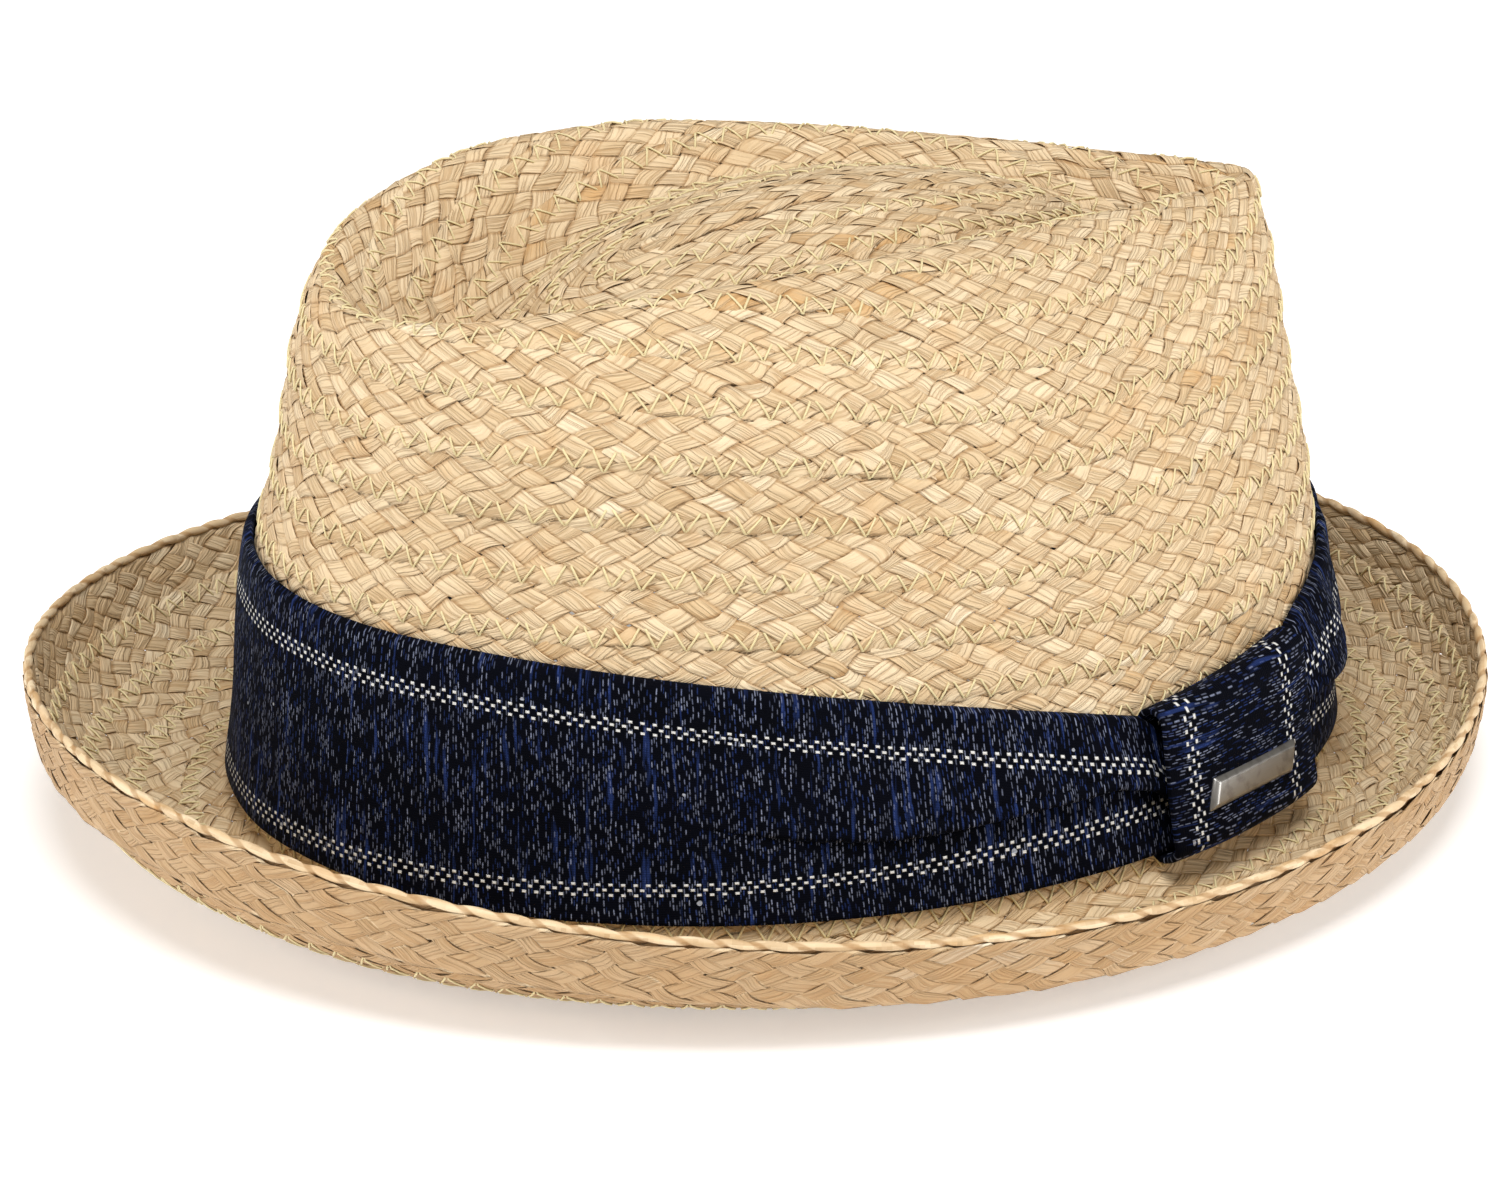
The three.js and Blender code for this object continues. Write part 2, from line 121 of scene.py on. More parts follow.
class HatSurface:
    """The outer face of the hat on a grid of angles round it and rows down it, in metres."""

    def __init__(self):
        angles = np.arange(ANGLES) / ANGLES * 2 * np.pi
        line = spline(np.stack([ring_points(ring, angles) for ring in RINGS], axis=1)) * MM
        lengths = np.zeros(line.shape[:2])
        lengths[:, 1:] = np.cumsum(np.linalg.norm(np.diff(line, axis=1), axis=2), axis=1)
        self.crown = lengths[:, BREAK * SAMPLES]
        self.brim = lengths[:, -1] - self.crown
        rows = np.arange(0, ALL_ROWS + ROW_STEP / 2, ROW_STEP)
        self.points = np.empty((ANGLES, len(rows), 3))
        for i in range(ANGLES):
            down = np.clip(rows / CROWN_ROWS, 0, 1) * self.crown[i]
            down += np.clip((rows - CROWN_ROWS) / BRIM_ROWS, 0, 1) * self.brim[i]
            for k in range(3):
                self.points[i, :, k] = np.interp(down, lengths[i], line[i, :, k])
        reach, turn = 4, round(0.2 / (2 * np.pi) * ANGLES)
        index = np.arange(len(rows))
        along = self.points[:, np.minimum(index + reach, index[-1])] - self.points[:, np.maximum(index - reach, 0)]
        around = np.roll(self.points, -turn, axis=0) - np.roll(self.points, turn, axis=0)
        out = np.cross(along, around)
        out /= np.maximum(np.linalg.norm(out, axis=2, keepdims=True), 1e-12)
        flat = smooth(0.7, 0.2, rows)[None, :, None] if False else 1 - smooth(0.2, 0.7, rows)[None, :, None]
        out = out * (1 - flat) + np.array([0, 0, 1.0]) * flat
        self.normals = out / np.linalg.norm(out, axis=2, keepdims=True)

    def _read(self, grid, angle, row):
        """A grid's value between its samples."""
        a = np.asarray(angle) / (2 * np.pi) * ANGLES
        r = np.clip(np.asarray(row) / ROW_STEP, 0, grid.shape[1] - 1.001)
        a, r = np.broadcast_arrays(a, r)
        i, j = np.floor(a).astype(int), np.floor(r).astype(int)
        s, t = (a - i)[..., None], (r - j)[..., None]
        i, k = i % ANGLES, (i + 1) % ANGLES
        near = grid[i, j] * (1 - t) + grid[i, j + 1] * t
        far = grid[k, j] * (1 - t) + grid[k, j + 1] * t
        return near * (1 - s) + far * s

    def normal(self, angle, row):
        out = self._read(self.normals, angle, row)
        return out / np.linalg.norm(out, axis=-1, keepdims=True)

    def under(self, angle, row, depth):
        """A point at a depth under the surface, in metres; a negative depth stands outside it."""
        depth = np.asarray(depth)[..., None]
        return self._read(self.points, angle, row) - self.normal(angle, row) * depth

    def row_at(self, angle, height):
        """The row where the crown's wall reaches a height, in metres."""
        angle, height = np.broadcast_arrays(angle, height)
        found = np.empty(angle.shape)
        wall = slice(round(8 / ROW_STEP), round(CROWN_ROWS / ROW_STEP) + 1)
        rows = np.arange(wall.start, wall.stop) * ROW_STEP
        for index in np.ndindex(angle.shape):
            i = int(round(angle[index] / (2 * np.pi) * ANGLES)) % ANGLES
            found[index] = np.interp(-height[index], -self.points[i, wall, 2], rows)
        return found

    def lap_angles(self, row):
        """The angles against the share of the way round at one row, and the length round it."""
        ring = self.points[:, round(row / ROW_STEP)]
        steps = np.linalg.norm(np.roll(ring, -1, axis=0) - ring, axis=1)
        shares = np.concatenate([[0], np.cumsum(steps)]) / steps.sum()
        return shares, np.arange(ANGLES + 1) / ANGLES * 2 * np.pi, steps.sum()


SURFACE = HatSurface()


# ---- Meshes ----
def make_piece(name, points, faces, replaces=(), uvs=None, values=None, finish=None, flat=False):
    """A mesh object from arrays of points and quads, riding on the body."""
    mesh = bpy.data.meshes.new(name)
    points = np.asarray(points, np.float32).reshape(-1, 3)
    faces = np.asarray(faces, np.int32)
    mesh.vertices.add(len(points))
    mesh.vertices.foreach_set("co", points.ravel())
    mesh.loops.add(faces.size)
    mesh.loops.foreach_set("vertex_index", faces.ravel())
    mesh.polygons.add(len(faces))
    mesh.polygons.foreach_set("loop_start", np.arange(len(faces), dtype=np.int32) * faces.shape[1])
    if uvs is not None:
        layer = mesh.uv_layers.new(name="cloth")
        layer.data.foreach_set("uv", np.asarray(uvs, np.float32).ravel())
    for key, value in (values or {}).items():
        attribute = mesh.attributes.new(key, "FLOAT", "POINT")
        attribute.data.foreach_set("value", np.asarray(value, np.float32).ravel())
    mesh.update(calc_edges=True)
    mesh.polygons.foreach_set("use_smooth", np.full(len(faces), not flat))
    piece = bpy.data.objects.new(name, mesh)
    bpy.context.collection.objects.link(piece)
    return settle(piece, replaces, finish)


def settle(piece, replaces=(), finish=None):
    """Gives a piece its finish and its place on the body."""
    if finish is not None:
        piece.data.materials.clear()
        piece.data.materials.append(finish)
    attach(piece, BODY)
    if replaces:
        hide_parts(*replaces)
    return piece


def grid_faces(rows, columns, close_rows=False, close_columns=False):
    """Quads over a grid of points; a closed direction joins its last line to its first."""
    i = np.arange(rows if close_rows else rows - 1)
    j = np.arange(columns if close_columns else columns - 1)
    i, j = (index.ravel() for index in np.meshgrid(i, j, indexing="ij"))
    k, m = (i + 1) % rows, (j + 1) % columns
    return np.stack([i * columns + j, i * columns + m, k * columns + m, k * columns + j], axis=1)


def tube(centres, normals, radius, sides):
    """Points and quads of a closed round tube along a loop of centres."""
    along = np.roll(centres, -1, axis=0) - np.roll(centres, 1, axis=0)
    across = np.cross(along, normals)
    across /= np.linalg.norm(across, axis=1, keepdims=True)
    up = np.cross(across, along)
    up /= np.linalg.norm(up, axis=1, keepdims=True)
    turn = np.arange(sides) / sides * 2 * np.pi
    ring = across[:, None] * np.cos(turn)[None, :, None] + up[:, None] * np.sin(turn)[None, :, None]
    points = centres[:, None] + ring * radius
    return points.reshape(-1, 3), grid_faces(len(centres), sides, True, True)[:, ::-1]


# ---- Plait ----
def wander(dice, units, follows, count, spread):
    """Random values that change smoothly along each strand and carry on into the strand that follows it."""
    knots = dice.normal(0, spread, (units, count))
    knots = np.concatenate([knots, knots[follows, :1]], axis=1)
    place = np.arange(count * SUB) / SUB
    low = place.astype(int)
    part = smooth(0, 1, place - low)
    return knots[:, low] * (1 - part) + knots[:, low + 1] * part


class Weave:
    """Where the strands of a flat plait run: x along it in strand pitches, y across it from 0 to 1, and lift.

    A strand counts the crossings it has passed: up to ENDS on its way to one selvedge, where it folds over,
    and on to 2 * ENDS on its way back. Its sections lie along the strands that cross it, except at the folds.
    """

    # Where the section's corners lie across the strand, and on which of its two sides.
    ACROSS = np.array([-0.5, -0.42, 0.42, 0.5, 0.42, -0.42])
    SIDE = np.array([0, 1, 1, 0, -1, -1])

    def __init__(self, plait, dice, x, passed, follows):
        def vary(spread):
            return wander(dice, len(x), follows, passed.shape[1] // SUB, spread * plait.looseness)[..., None]

        t = passed[..., None]
        turn = t % (2 * ENDS)
        to_fold = np.minimum(np.abs(turn - ENDS), np.minimum(turn, 2 * ENDS - turn))
        free = np.clip(to_fold, 0, 1)
        across = self.ACROSS * np.clip(plait.cover + vary(0.05), 0.85, 1.1) + vary(0.04)
        place = t - across * free
        edges = (2 * self.ACROSS) ** 2
        self.x = x[:, None, None] + place / 2 + across
        self.y = (ENDS - np.abs(ENDS - place % (2 * ENDS))) / ENDS
        half = plait.strand_thickness / 2
        facing = np.sin(np.pi / 2 * np.clip(to_fold / 0.6, 0, 1)) * np.where(turn > ENDS, -1, 1)
        outward = np.where(np.abs(turn - ENDS) < ENDS / 2, 1, -1)
        self.y = self.y - self.SIDE * half / plait.width * np.sqrt(1 - facing**2)
        self.y = self.y + outward * (1 - smooth(0, 1, to_fold)) * (0.012 + vary(0.012) - 0.045 * edges)
        self.warp(dice, 0.05 * plait.looseness, 0.014 * plait.looseness)
        wave = weave_wave(t + across * (1 - free))
        unevenness = (vary(0.16) + vary(0.35) * 2 * self.ACROSS) * free
        self.lift = plait.undulation * (wave * (1 - (0.18 + vary(0.15)) * edges) + unevenness)
        self.lift = self.lift + self.SIDE * half * facing
        # height only feeds the painted shade of the straw finish: it is lower where a strand dives under and towards
        # its edges.
        self.height = np.broadcast_to(wave - 0.1 * edges, self.lift.shape)

    def warp(self, dice, along, across):
        """Pulls the whole plait slightly out of true, the same for every strand that meets at a place."""
        cells = self.x.shape[0] if self.x.shape[0] > ENDS else round(float(self.x.max()))
        shift_x, shift_y = 0, 0
        for _ in range(7):
            beats = dice.integers(cells // 5 + 1, round(cells / 1.4) + 2)
            phase = 2 * np.pi * (beats * self.x / cells + dice.uniform(-1.5, 1.5) * self.y + dice.random())
            shift_x = shift_x + dice.uniform(0.4, 1) * along * np.sin(phase)
            shift_y = shift_y + dice.uniform(0.4, 1) * across * np.cos(phase + 1)
        self.x, self.y = self.x + shift_x, self.y + shift_y


def weave_wave(passed):
    """1 where a strand passes over, -1 where it passes under and in between at each fold."""
    turn = (passed - 1) % (2 * ENDS)
    leg = turn % ENDS
    wave = np.where(leg < ENDS - 2, np.cos(np.pi * leg), -np.cos(np.pi / 2 * (leg - ENDS + 2)))
    return np.tanh(1.6 * wave) / math.tanh(1.6)


def plait_piece(name, node, plait, weave, faces, follows, dice, place, finish):
    """Places the strands of a weave and gives each its tone: returns the points, the tones and each strand's seed."""
    units, sections, corners = weave.x.shape
    points = place(weave.x, weave.y, weave.lift)
    tones = 0.3 + 0.45 * dice.beta(2.2, 2.2, units)
    odd = dice.random(units)
    tones = np.where(odd < 0.05, dice.uniform(0.22, 0.36, units), tones)
    tones = np.where(odd > 0.96, dice.uniform(0.72, 0.86, units), tones)
    share = smooth(0.1, 0.9, np.arange(sections) / sections)[None, :, None]
    tone = tones[:, None, None] * (1 - share) + tones[follows][:, None, None] * share
    tone = np.broadcast_to(tone, weave.x.shape)
    seeds = dice.integers(0, 400, units)
    return points, tone, seeds


def depth_of(y):
    """How deep the middle of the plait lies under the surface: its foot stands proud, its top is lapped."""
    return np.interp(y, (-0.1, 0, 0.12, 0.28, 0.72, 1, 1.1), (0.75, 0.70, 0.54, 0.5, 0.80, 0.98, 1.0)) * MM


def strand_uvs(units, sections, closed):
    """Texture coordinates for each quad's corners: across the strand, then along it in millimetres."""
    across = np.array([0, 0.08, 0.92, 1, 1.08, 1.92, 2.0])
    step = 7.4 / 2 / 0.88 / SUB  # millimetres of strand between two sections
    count = sections if closed else sections - 1
    k, q = (index.ravel() for index in np.meshgrid(np.arange(count), np.arange(6), indexing="ij"))
    u = np.stack([across[q], across[q + 1], across[q + 1], across[q]], axis=1)
    v = np.stack([k, k, k + 1, k + 1], axis=1) * step
    return np.stack([u, v], axis=2), len(k)


def ring_plait(name, node, row_foot, plait, seed, finish, place=None, mid=None, phase=0.0):
    """One lap of plait round the hat, woven from closed strands, whose foot is at row_foot."""
    dice = np.random.default_rng(seed)
    shares, angles, length = SURFACE.lap_angles(max(row_foot - 0.5, 0.3) if mid is None else mid)
    units = max(round(length / plait.strand_pitch), 2 * ENDS)
    follows = (np.arange(units) + ENDS) % units
    m = np.broadcast_to(np.arange(2 * ENDS * SUB) / SUB, (units, 2 * ENDS * SUB))
    weave = Weave(plait, dice, np.arange(units, dtype=float), m, follows)

    def on_row(x, y, lift):
        angle = np.interp((x / units + phase) % 1, shares, angles)
        firm = 0.6 + 0.4 * smooth(0, 0.22, y)
        return SURFACE.under(angle, row_foot - y * LAP, depth_of(y) - lift * firm)

    points, tone, seeds = plait_piece(name, node, plait, weave, None, follows, dice, place or on_row, finish)
    sections, corners = m.shape[1], 6
    first = np.arange(units)[:, None, None] * sections * corners
    k, q = np.arange(sections)[None, :, None], np.arange(corners)[None, None, :]
    here = first + k * corners
    last = k == sections - 1
    there = np.where(last, follows[:, None, None] * sections * corners, here + corners)
    after = (q + 1) % corners
    faces = np.stack([here + q, here + after, there + after, there + q], axis=3).reshape(-1, 4)
    uvs, _ = strand_uvs(units, sections, True)
    uvs = np.broadcast_to(uvs[None], (units, *uvs.shape)).copy()
    uvs[..., 0] += (seeds[:, None, None] % 20) * 4
    uvs[..., 1] += (seeds[:, None, None] // 20) * 60
    # The lift attribute tells the straw finish where to paint shade on the strands.
    values = {"tone": tone, "lift": weave.height}
    return make_piece(name, points, faces, (node,), uvs, values, finish)


def ridge_plait(name, node, plait, seed, finish):
    """The straight first length of plait along the ridge of the tip, with both ends tucked under."""
    dice = np.random.default_rng(seed)
    front, back, reach = RINGS[0][1] * MM, RINGS[0][2] * MM, 6.5 * MM
    start, end = front - reach, back + reach
    cells = round((end - start) / plait.strand_pitch)
    rows = np.arange(0.1, 2.2, 0.1)
    turn = np.arange(0, 2 * np.pi, 0.05)
    near = SURFACE._read(SURFACE.points, *(grid.ravel() for grid in np.meshgrid(turn, rows)))
    terms = lambda x, y: np.stack([x**0, y, y**2, y**3, y**4, x**2, x**2 * y, x**2 * y**2, x**4], axis=-1)
    fit = np.linalg.lstsq(terms(near[:, 0] * 10, near[:, 1] * 10), near[:, 2], rcond=None)[0]
    m = np.arange(2 * cells * SUB + 1)[None, :] / SUB - 2 * np.arange(ENDS)[:, None]
    full = np.concatenate([m, m[:, -1:] + np.arange(1, SUB)[None, :] / SUB], axis=1)
    weave = Weave(plait, dice, np.arange(ENDS, dtype=float), full, np.arange(ENDS))

    def on_ridge(x, y, lift):
        share = np.clip(x / cells, 0, 1)
        tuck = 1 - smooth(0, 0.9, np.minimum(x, cells - x))
        side = (y - 0.5) * (1 - 0.45 * tuck) * LAP * 9.3 * MM
        along = start + (end - start) * share
        height = terms(side * 10, along * 10) @ fit
        lap = 0.75 * MM * (1 - (2 * np.clip(y, 0, 1) - 1) ** 2)
        return np.stack([side, along, height - 0.6 * MM + lap * 0.4 + lift - tuck * 1.7 * MM], axis=-1)

    points, tone, seeds = plait_piece(name, node, plait, weave, None, np.arange(ENDS), dice, on_ridge, finish)
    sections = m.shape[1]
    points, tone, height = points[:, :sections], tone[:, :sections], weave.height[:, :sections]
    faces, uvs = [], []
    strip = grid_faces(sections, 6, False, True)
    base_uv, _ = strand_uvs(1, sections, False)
    for i in range(ENDS):
        faces.append(strip + i * sections * 6)
        uvs.append(base_uv + np.array([i * 4, i * 70]))
        for section, order in ((0, (5, 4, 1, 0)), (0, (4, 3, 2, 1)), (sections - 1, (0, 1, 4, 5)), (sections - 1, (1, 2, 3, 4))):
            faces.append(np.array([[i * sections * 6 + section * 6 + corner for corner in order]]))
            uvs.append(np.zeros((1, 4, 2)))
    # The lift attribute tells the straw finish where to paint shade on the strands.
    values = {"tone": tone, "lift": height}
    return make_piece(name, points, np.concatenate(faces), (node,), np.concatenate(uvs), values, finish)


# ---- Zigzag seams ----
def zigzag(name, row_foot, stitch, plait, seed, finish, inside=False, lap=LAP, face=1):
    """The zigzag thread that sews a row's foot to the next row, on the outer or the inner face."""
    dice = np.random.default_rng(seed)
    shares, angles, length = SURFACE.lap_angles(row_foot - 0.1)
    corners = 2 * round(length / stitch.pitch)
    top = np.arange(corners) % 2
    corner_x = np.arange(corners) / 2 + dice.normal(0, 0.035, corners)
    corner_y = np.where(top, 0.29, 0.045) + dice.normal(0, 0.012, corners)
    gap = np.where(top, 0.075, 0.02)
    next_x, next_y, next_gap = np.append(corner_x[1:], corner_x[0] + corners / 2), np.roll(corner_y, -1), np.roll(gap, -1)
    t = np.array((0, 0.1, 0.5, 0.9, 1))[None, :]
    start_x, end_x = (corner_x + gap)[:, None], (next_x - next_gap)[:, None]
    x = (start_x * (1 - t) + end_x * t).ravel()
    y = (corner_y[:, None] * (1 - t) + next_y[:, None] * t).ravel()
    lift = (np.array([-0.5, 0.06, 0.14, 0.06, -0.5]) * MM + 0 * (start_x * t)).ravel()
    angle = np.interp((x / (corners / 2)) % 1, shares, angles)
    row = row_foot - y * lap
    skin = plait.undulation * 0.85 + plait.strand_thickness / 2
    if inside:
        depth = depth_of(y + 0.72) + skin + lift
    else:
        depth = depth_of(y) - skin - lift
    centres = SURFACE.under(angle, row, depth)
    normals = SURFACE.normal(angle, row)
    return tube(centres, normals, stitch.thread / 2, 4)


# ---- Shader arithmetic ----
class Signal:
    """A value in a material; Python's arithmetic on it adds Math nodes."""

    def __init__(self, finish, socket):
        self.finish, self.socket = finish, socket

    def math(self, operation, *values):
        inputs = dict(enumerate(values))
        return self.finish.node("ShaderNodeMath", {"operation": operation}, inputs)[0]

    def __add__(self, other):
        return self.math("ADD", self, other)

    def __sub__(self, other):
        return self.math("SUBTRACT", self, other)

    def __rsub__(self, other):
        return self.math("SUBTRACT", other, self)

    def __mul__(self, other):
        return self.math("MULTIPLY", self, other)

    def __truediv__(self, other):
        return self.math("DIVIDE", self, other)

    __radd__ = __add__
    __rmul__ = __mul__

    def floor(self):
        return self.math("FLOOR", self)

    def fraction(self):
        return self.math("FRACT", self)

    def size(self):
        return self.math("ABSOLUTE", self)

    def below(self, limit, blur=0.0):
        """1 below a limit and 0 above it, eased over a width."""
        if not blur:
            return self.math("LESS_THAN", self, limit)
        return self.math("MAXIMUM", self.math("MINIMUM", (limit + blur / 2 - self) / blur, 1.0), 0.0)

    def lowest(self, other):
        return self.math("MINIMUM", self, other)

    def highest(self, other):
        return self.math("MAXIMUM", self, other)


class Finish:
    """A material built from a few calls: node() adds any node, surface() ends in the Principled shader."""

    def __init__(self, name):
        self.material = bpy.data.materials.new(name)
        self.material.use_nodes = True
        self.tree = self.material.node_tree
        self.tree.nodes.clear()

    def put(self, socket, value):
        if isinstance(value, Signal):
            self.tree.links.new(value.socket, socket)
        elif hasattr(value, "__len__") and len(value) == 3 and socket.type == "RGBA":
            socket.default_value = (*value, 1)
        else:
            socket.default_value = value

    def node(self, kind, settings=None, inputs=None):
        """A node's outputs, by name and by index."""
        node = self.tree.nodes.new(kind)
        for key, value in (settings or {}).items():
            if key == "stops":
                ramp = node.color_ramp
                while len(ramp.elements) < len(value):
                    ramp.elements.new(1)
                for element, (place, colour) in zip(ramp.elements, value):
                    element.position, element.color = place, (*colour, 1)
            else:
                setattr(node, key, value)
        for key, value in (inputs or {}).items():
            self.put(node.inputs[key], value)
        found = {i: Signal(self, out) for i, out in enumerate(node.outputs)}
        found.update({out.name: Signal(self, out) for out in node.outputs if out.enabled})
        return found

    def vector(self, x, y, z=0.0):
        return self.node("ShaderNodeCombineXYZ", None, {0: x, 1: y, 2: z})[0]

    def noise(self, vector, scale, detail=2.0, roughness=0.5):
        inputs = {"Vector": vector, "Scale": scale, "Detail": detail, "Roughness": roughness}
        return self.node("ShaderNodeTexNoise", None, inputs)["Fac"]

    def dice(self, x, y):
        """A random value for each whole x and y."""
        inputs = {"Vector": self.vector(x.floor(), y.floor())}
        return self.node("ShaderNodeTexWhiteNoise", {"noise_dimensions": "2D"}, inputs)["Value"]

    def blend(self, factor, low, high, how="MIX"):
        settings = {"data_type": "RGBA", "blend_type": how}
        return self.node("ShaderNodeMix", settings, {0: factor, 6: low, 7: high})[2]

    def ramp(self, factor, stops):
        return self.node("ShaderNodeValToRGB", {"stops": stops}, {"Fac": factor})["Color"]

    def uv(self):
        both = self.node("ShaderNodeUVMap", {"uv_map": "cloth"})["UV"]
        parts = self.node("ShaderNodeSeparateXYZ", None, {"Vector": both})
        return parts["X"], parts["Y"]

    def attribute(self, name):
        return self.node("ShaderNodeAttribute", {"attribute_name": name})["Fac"]

    def place(self):
        return self.node("ShaderNodeTexCoord")["Object"]

    def bump(self, height, distance, strength=1.0):
        inputs = {"Height": height, "Distance": distance, "Strength": strength}
        return self.node("ShaderNodeBump", None, inputs)["Normal"]

    def surface(self, **inputs):
        named = {key.replace("_", " "): value for key, value in inputs.items()}
        shader = self.node("ShaderNodeBsdfPrincipled", None, named)["BSDF"]
        self.node("ShaderNodeOutputMaterial", None, {"Surface": shader})
        return self.material


def linear(*shades):
    """A display colour, 0 to 255, as linear light."""
    return tuple((shade / 255) ** 2.2 for shade in shades)


def raffia(name, plait):
    """Split raffia leaf: fibrous, creased lengthwise and uneven in colour from strand to strand."""
    finish = Finish(name)
    u, v = finish.uv()
    tone, lift = finish.attribute("tone"), finish.attribute("lift")
    across = u + (finish.noise(finish.vector(u * 0.6, v * 0.14), 1.0, 1.0) - 0.5) * 0.6
    fold = finish.noise(finish.vector(across * 3.6, v * 0.035, 3.0), 1.0, 1.5)
    crease = (fold - 0.5).size().below(0.03, 0.06)
    fibre = finish.noise(finish.vector(across * 17, v * 0.16), 1.0, 3.0, 0.6)
    patch = finish.noise(finish.vector(u * 0.6, v * 0.11, 7.0), 1.0, 2.0)
    shade = tone + (fibre - 0.5) * 0.42 + (patch - 0.5) * 0.45
    pale, tan = tuple(plait.pale), tuple(plait.tan)
    middle = tuple((a + b) / 2 for a, b in zip(pale, tan))
    stops = (
        (0.0, linear(188, 138, 84)),
        (0.14, linear(206, 164, 112)),
        (0.30, tan),
        (0.55, middle),
        (0.82, pale),
        (1.0, linear(238, 227, 202)),
    )
    colour = finish.ramp(shade, stops)
    stain = finish.noise(finish.place(), 90.0, 2.0).below(0.36, 0.08)
    colour = finish.blend(stain * 0.22, colour, linear(212, 162, 106))
    # Painted shade: the crease lines, which the bump sinks as grooves, are darkened as if shade lay in them.
    colour = finish.blend(crease * 0.45, colour, linear(156, 116, 70))
    # Painted shade: the straw is darkened where the strand's lift is low, where it dives under the strands that cross
    # it and towards its edges.
    sunk_shade = lift.below(0.1, 0.5)
    colour = finish.blend(sunk_shade * 0.55, colour, linear(158, 114, 66))
    height = fold * 2.6 + fibre * 0.4 - crease * 0.4
    normal = finish.bump(height, 0.0005, 0.8)
    rough = 0.55 + fibre * 0.2
    return finish.surface(Base_Color=colour, Roughness=rough, Normal=normal, Specular_IOR_Level=0.3)


def seam_thread(stitch):
    """Twisted sewing thread."""
    finish = Finish("seam_thread")
    twist = finish.noise(finish.place(), 900.0, 1.0)
    colour = finish.blend(twist, tuple(stitch.colour), tuple(0.8 * part for part in stitch.colour))
    return finish.surface(Base_Color=colour, Roughness=0.5 + twist * 0.2, Specular_IOR_Level=0.4)


def linen(name, band, stripes):
    """Dark slub linen with light flecks along its warp and dashed white stripes at some places across it."""
    finish = Finish(name)
    u, v = finish.uv()
    patch = finish.noise(finish.vector(u * 0.11, v * 0.06), 1.0, 2.0)
    sway = (finish.noise(finish.vector(u * 0.3, v * 0.10), 1.0, 2.0) - 0.5) * 1.1
    cloth = finish.blend(patch, tuple(band.dark), tuple(band.navy))
    colour, relief = cloth, None
    for step, (least, strength) in enumerate(((0.32, 1.0), (0.66, 0.7))):
        column = (u + sway) / 0.95 + 0.5 * step
        run = v / 1.6 + (column.floor() * 0.5).fraction() + 0.5 * step + finish.dice(column, column * 0) * 0.35
        fate = finish.dice(column, run + 31 * step)
        kind = finish.dice(column + 7, run)
        wide = (column.fraction() - 0.5).size().below(0.10, 0.12)
        tall = (run.fraction() - 0.5).size().below(0.34, 0.2)
        share = 0.35 + 0.65 * finish.dice(column + 3, column * 0)
        fleck = wide * tall * (1 - fate.below(least)) * (0.3 + kind * 0.7) * share * strength
        light = finish.blend(kind.below(0.42, 0.3), tuple(band.fleck), tuple(band.slub))
        colour = finish.blend(fleck, colour, light)
        relief = fleck if relief is None else relief.highest(fleck)
    slub = 1 - finish.noise(finish.vector((u + sway) * 0.75, v * 0.05, 2.0), 1.0, 3.0).below(0.64, 0.08)
    colour = finish.blend(slub * 0.3, colour, tuple(band.slub))
    dots = None
    for stripe in stripes:
        for line in (-1, 0, 1):
            offset = 0.5 if line == 0 else 0.0
            near = (v - stripe - line * 1.08).size().below(0.27, 0.14)
            dash = ((u / 2.22 + offset).fraction() - 0.5).size().below(0.17, 0.07)
            dots = near * dash if dots is None else dots.highest(near * dash)
    dots = dots * (0.75 + 0.25 * finish.noise(finish.vector(u, v), 1.0, 2.0))
    colour = finish.blend(dots, colour, tuple(band.stripe))
    lint = finish.noise(finish.vector(u * 0.45, v * 0.45, 9.0), 1.0, 0.0).below(0.14, 0.02)
    colour = finish.blend(lint * 0.6, colour, linear(190, 195, 205))
    weft = (v / 0.5).fraction().below(0.5, 0.3)
    height = relief * 0.8 + dots * 1.2 + weft * 0.3 + slub * 0.4
    normal = finish.bump(height, 0.0002, 0.8)
    return finish.surface(
        Base_Color=colour,
        Roughness=0.85,
        Normal=normal,
        Specular_IOR_Level=0.05,
        Sheen_Weight=0.02,
        Sheen_Roughness=0.4,
        Sheen_Tint=(0.35, 0.5, 0.9, 1),
    )


def twill(lining):
    """Plain dark cotton twill."""
    finish = Finish("cotton_twill")
    u, v = finish.uv()
    rib = ((u + v) / 0.7).fraction()
    wave = (rib - 0.5).size() * 2
    fuzz = finish.noise(finish.vector(u, v), 1.5, 3.0)
    dark = tuple(lining.cotton)
    # Painted light and shade on the ribs: the colour is lighter where the bump raises the ribs and darker in the
    # grooves between them; the fuzz adds random tone.
    colour = finish.blend(wave * 0.6 + fuzz * 0.4, tuple(0.55 * part for part in dark), tuple(1.5 * part for part in dark))
    normal = finish.bump(wave + fuzz * 0.5, 0.00015, 0.7)
    return finish.surface(Base_Color=colour, Roughness=0.9, Normal=normal, Specular_IOR_Level=0.2, Sheen_Weight=0.15)


def grosgrain(lining):
    """Ribbed tape for the binding and the bow."""
    finish = Finish("grosgrain_tape")
    u, v = finish.uv()
    rib = ((u / 0.45).fraction() - 0.5).size() * 2
    dark = tuple(lining.tape)
    # Painted light and shade on the ribs: the colour is lighter where the bump raises the ribs and darker in the
    # grooves between them.
    colour = finish.blend(rib, tuple(0.6 * part for part in dark), tuple(1.8 * part for part in dark))
    normal = finish.bump(rib, 0.0001, 0.6)
    return finish.surface(Base_Color=colour, Roughness=0.6, Normal=normal, Sheen_Weight=0.1)


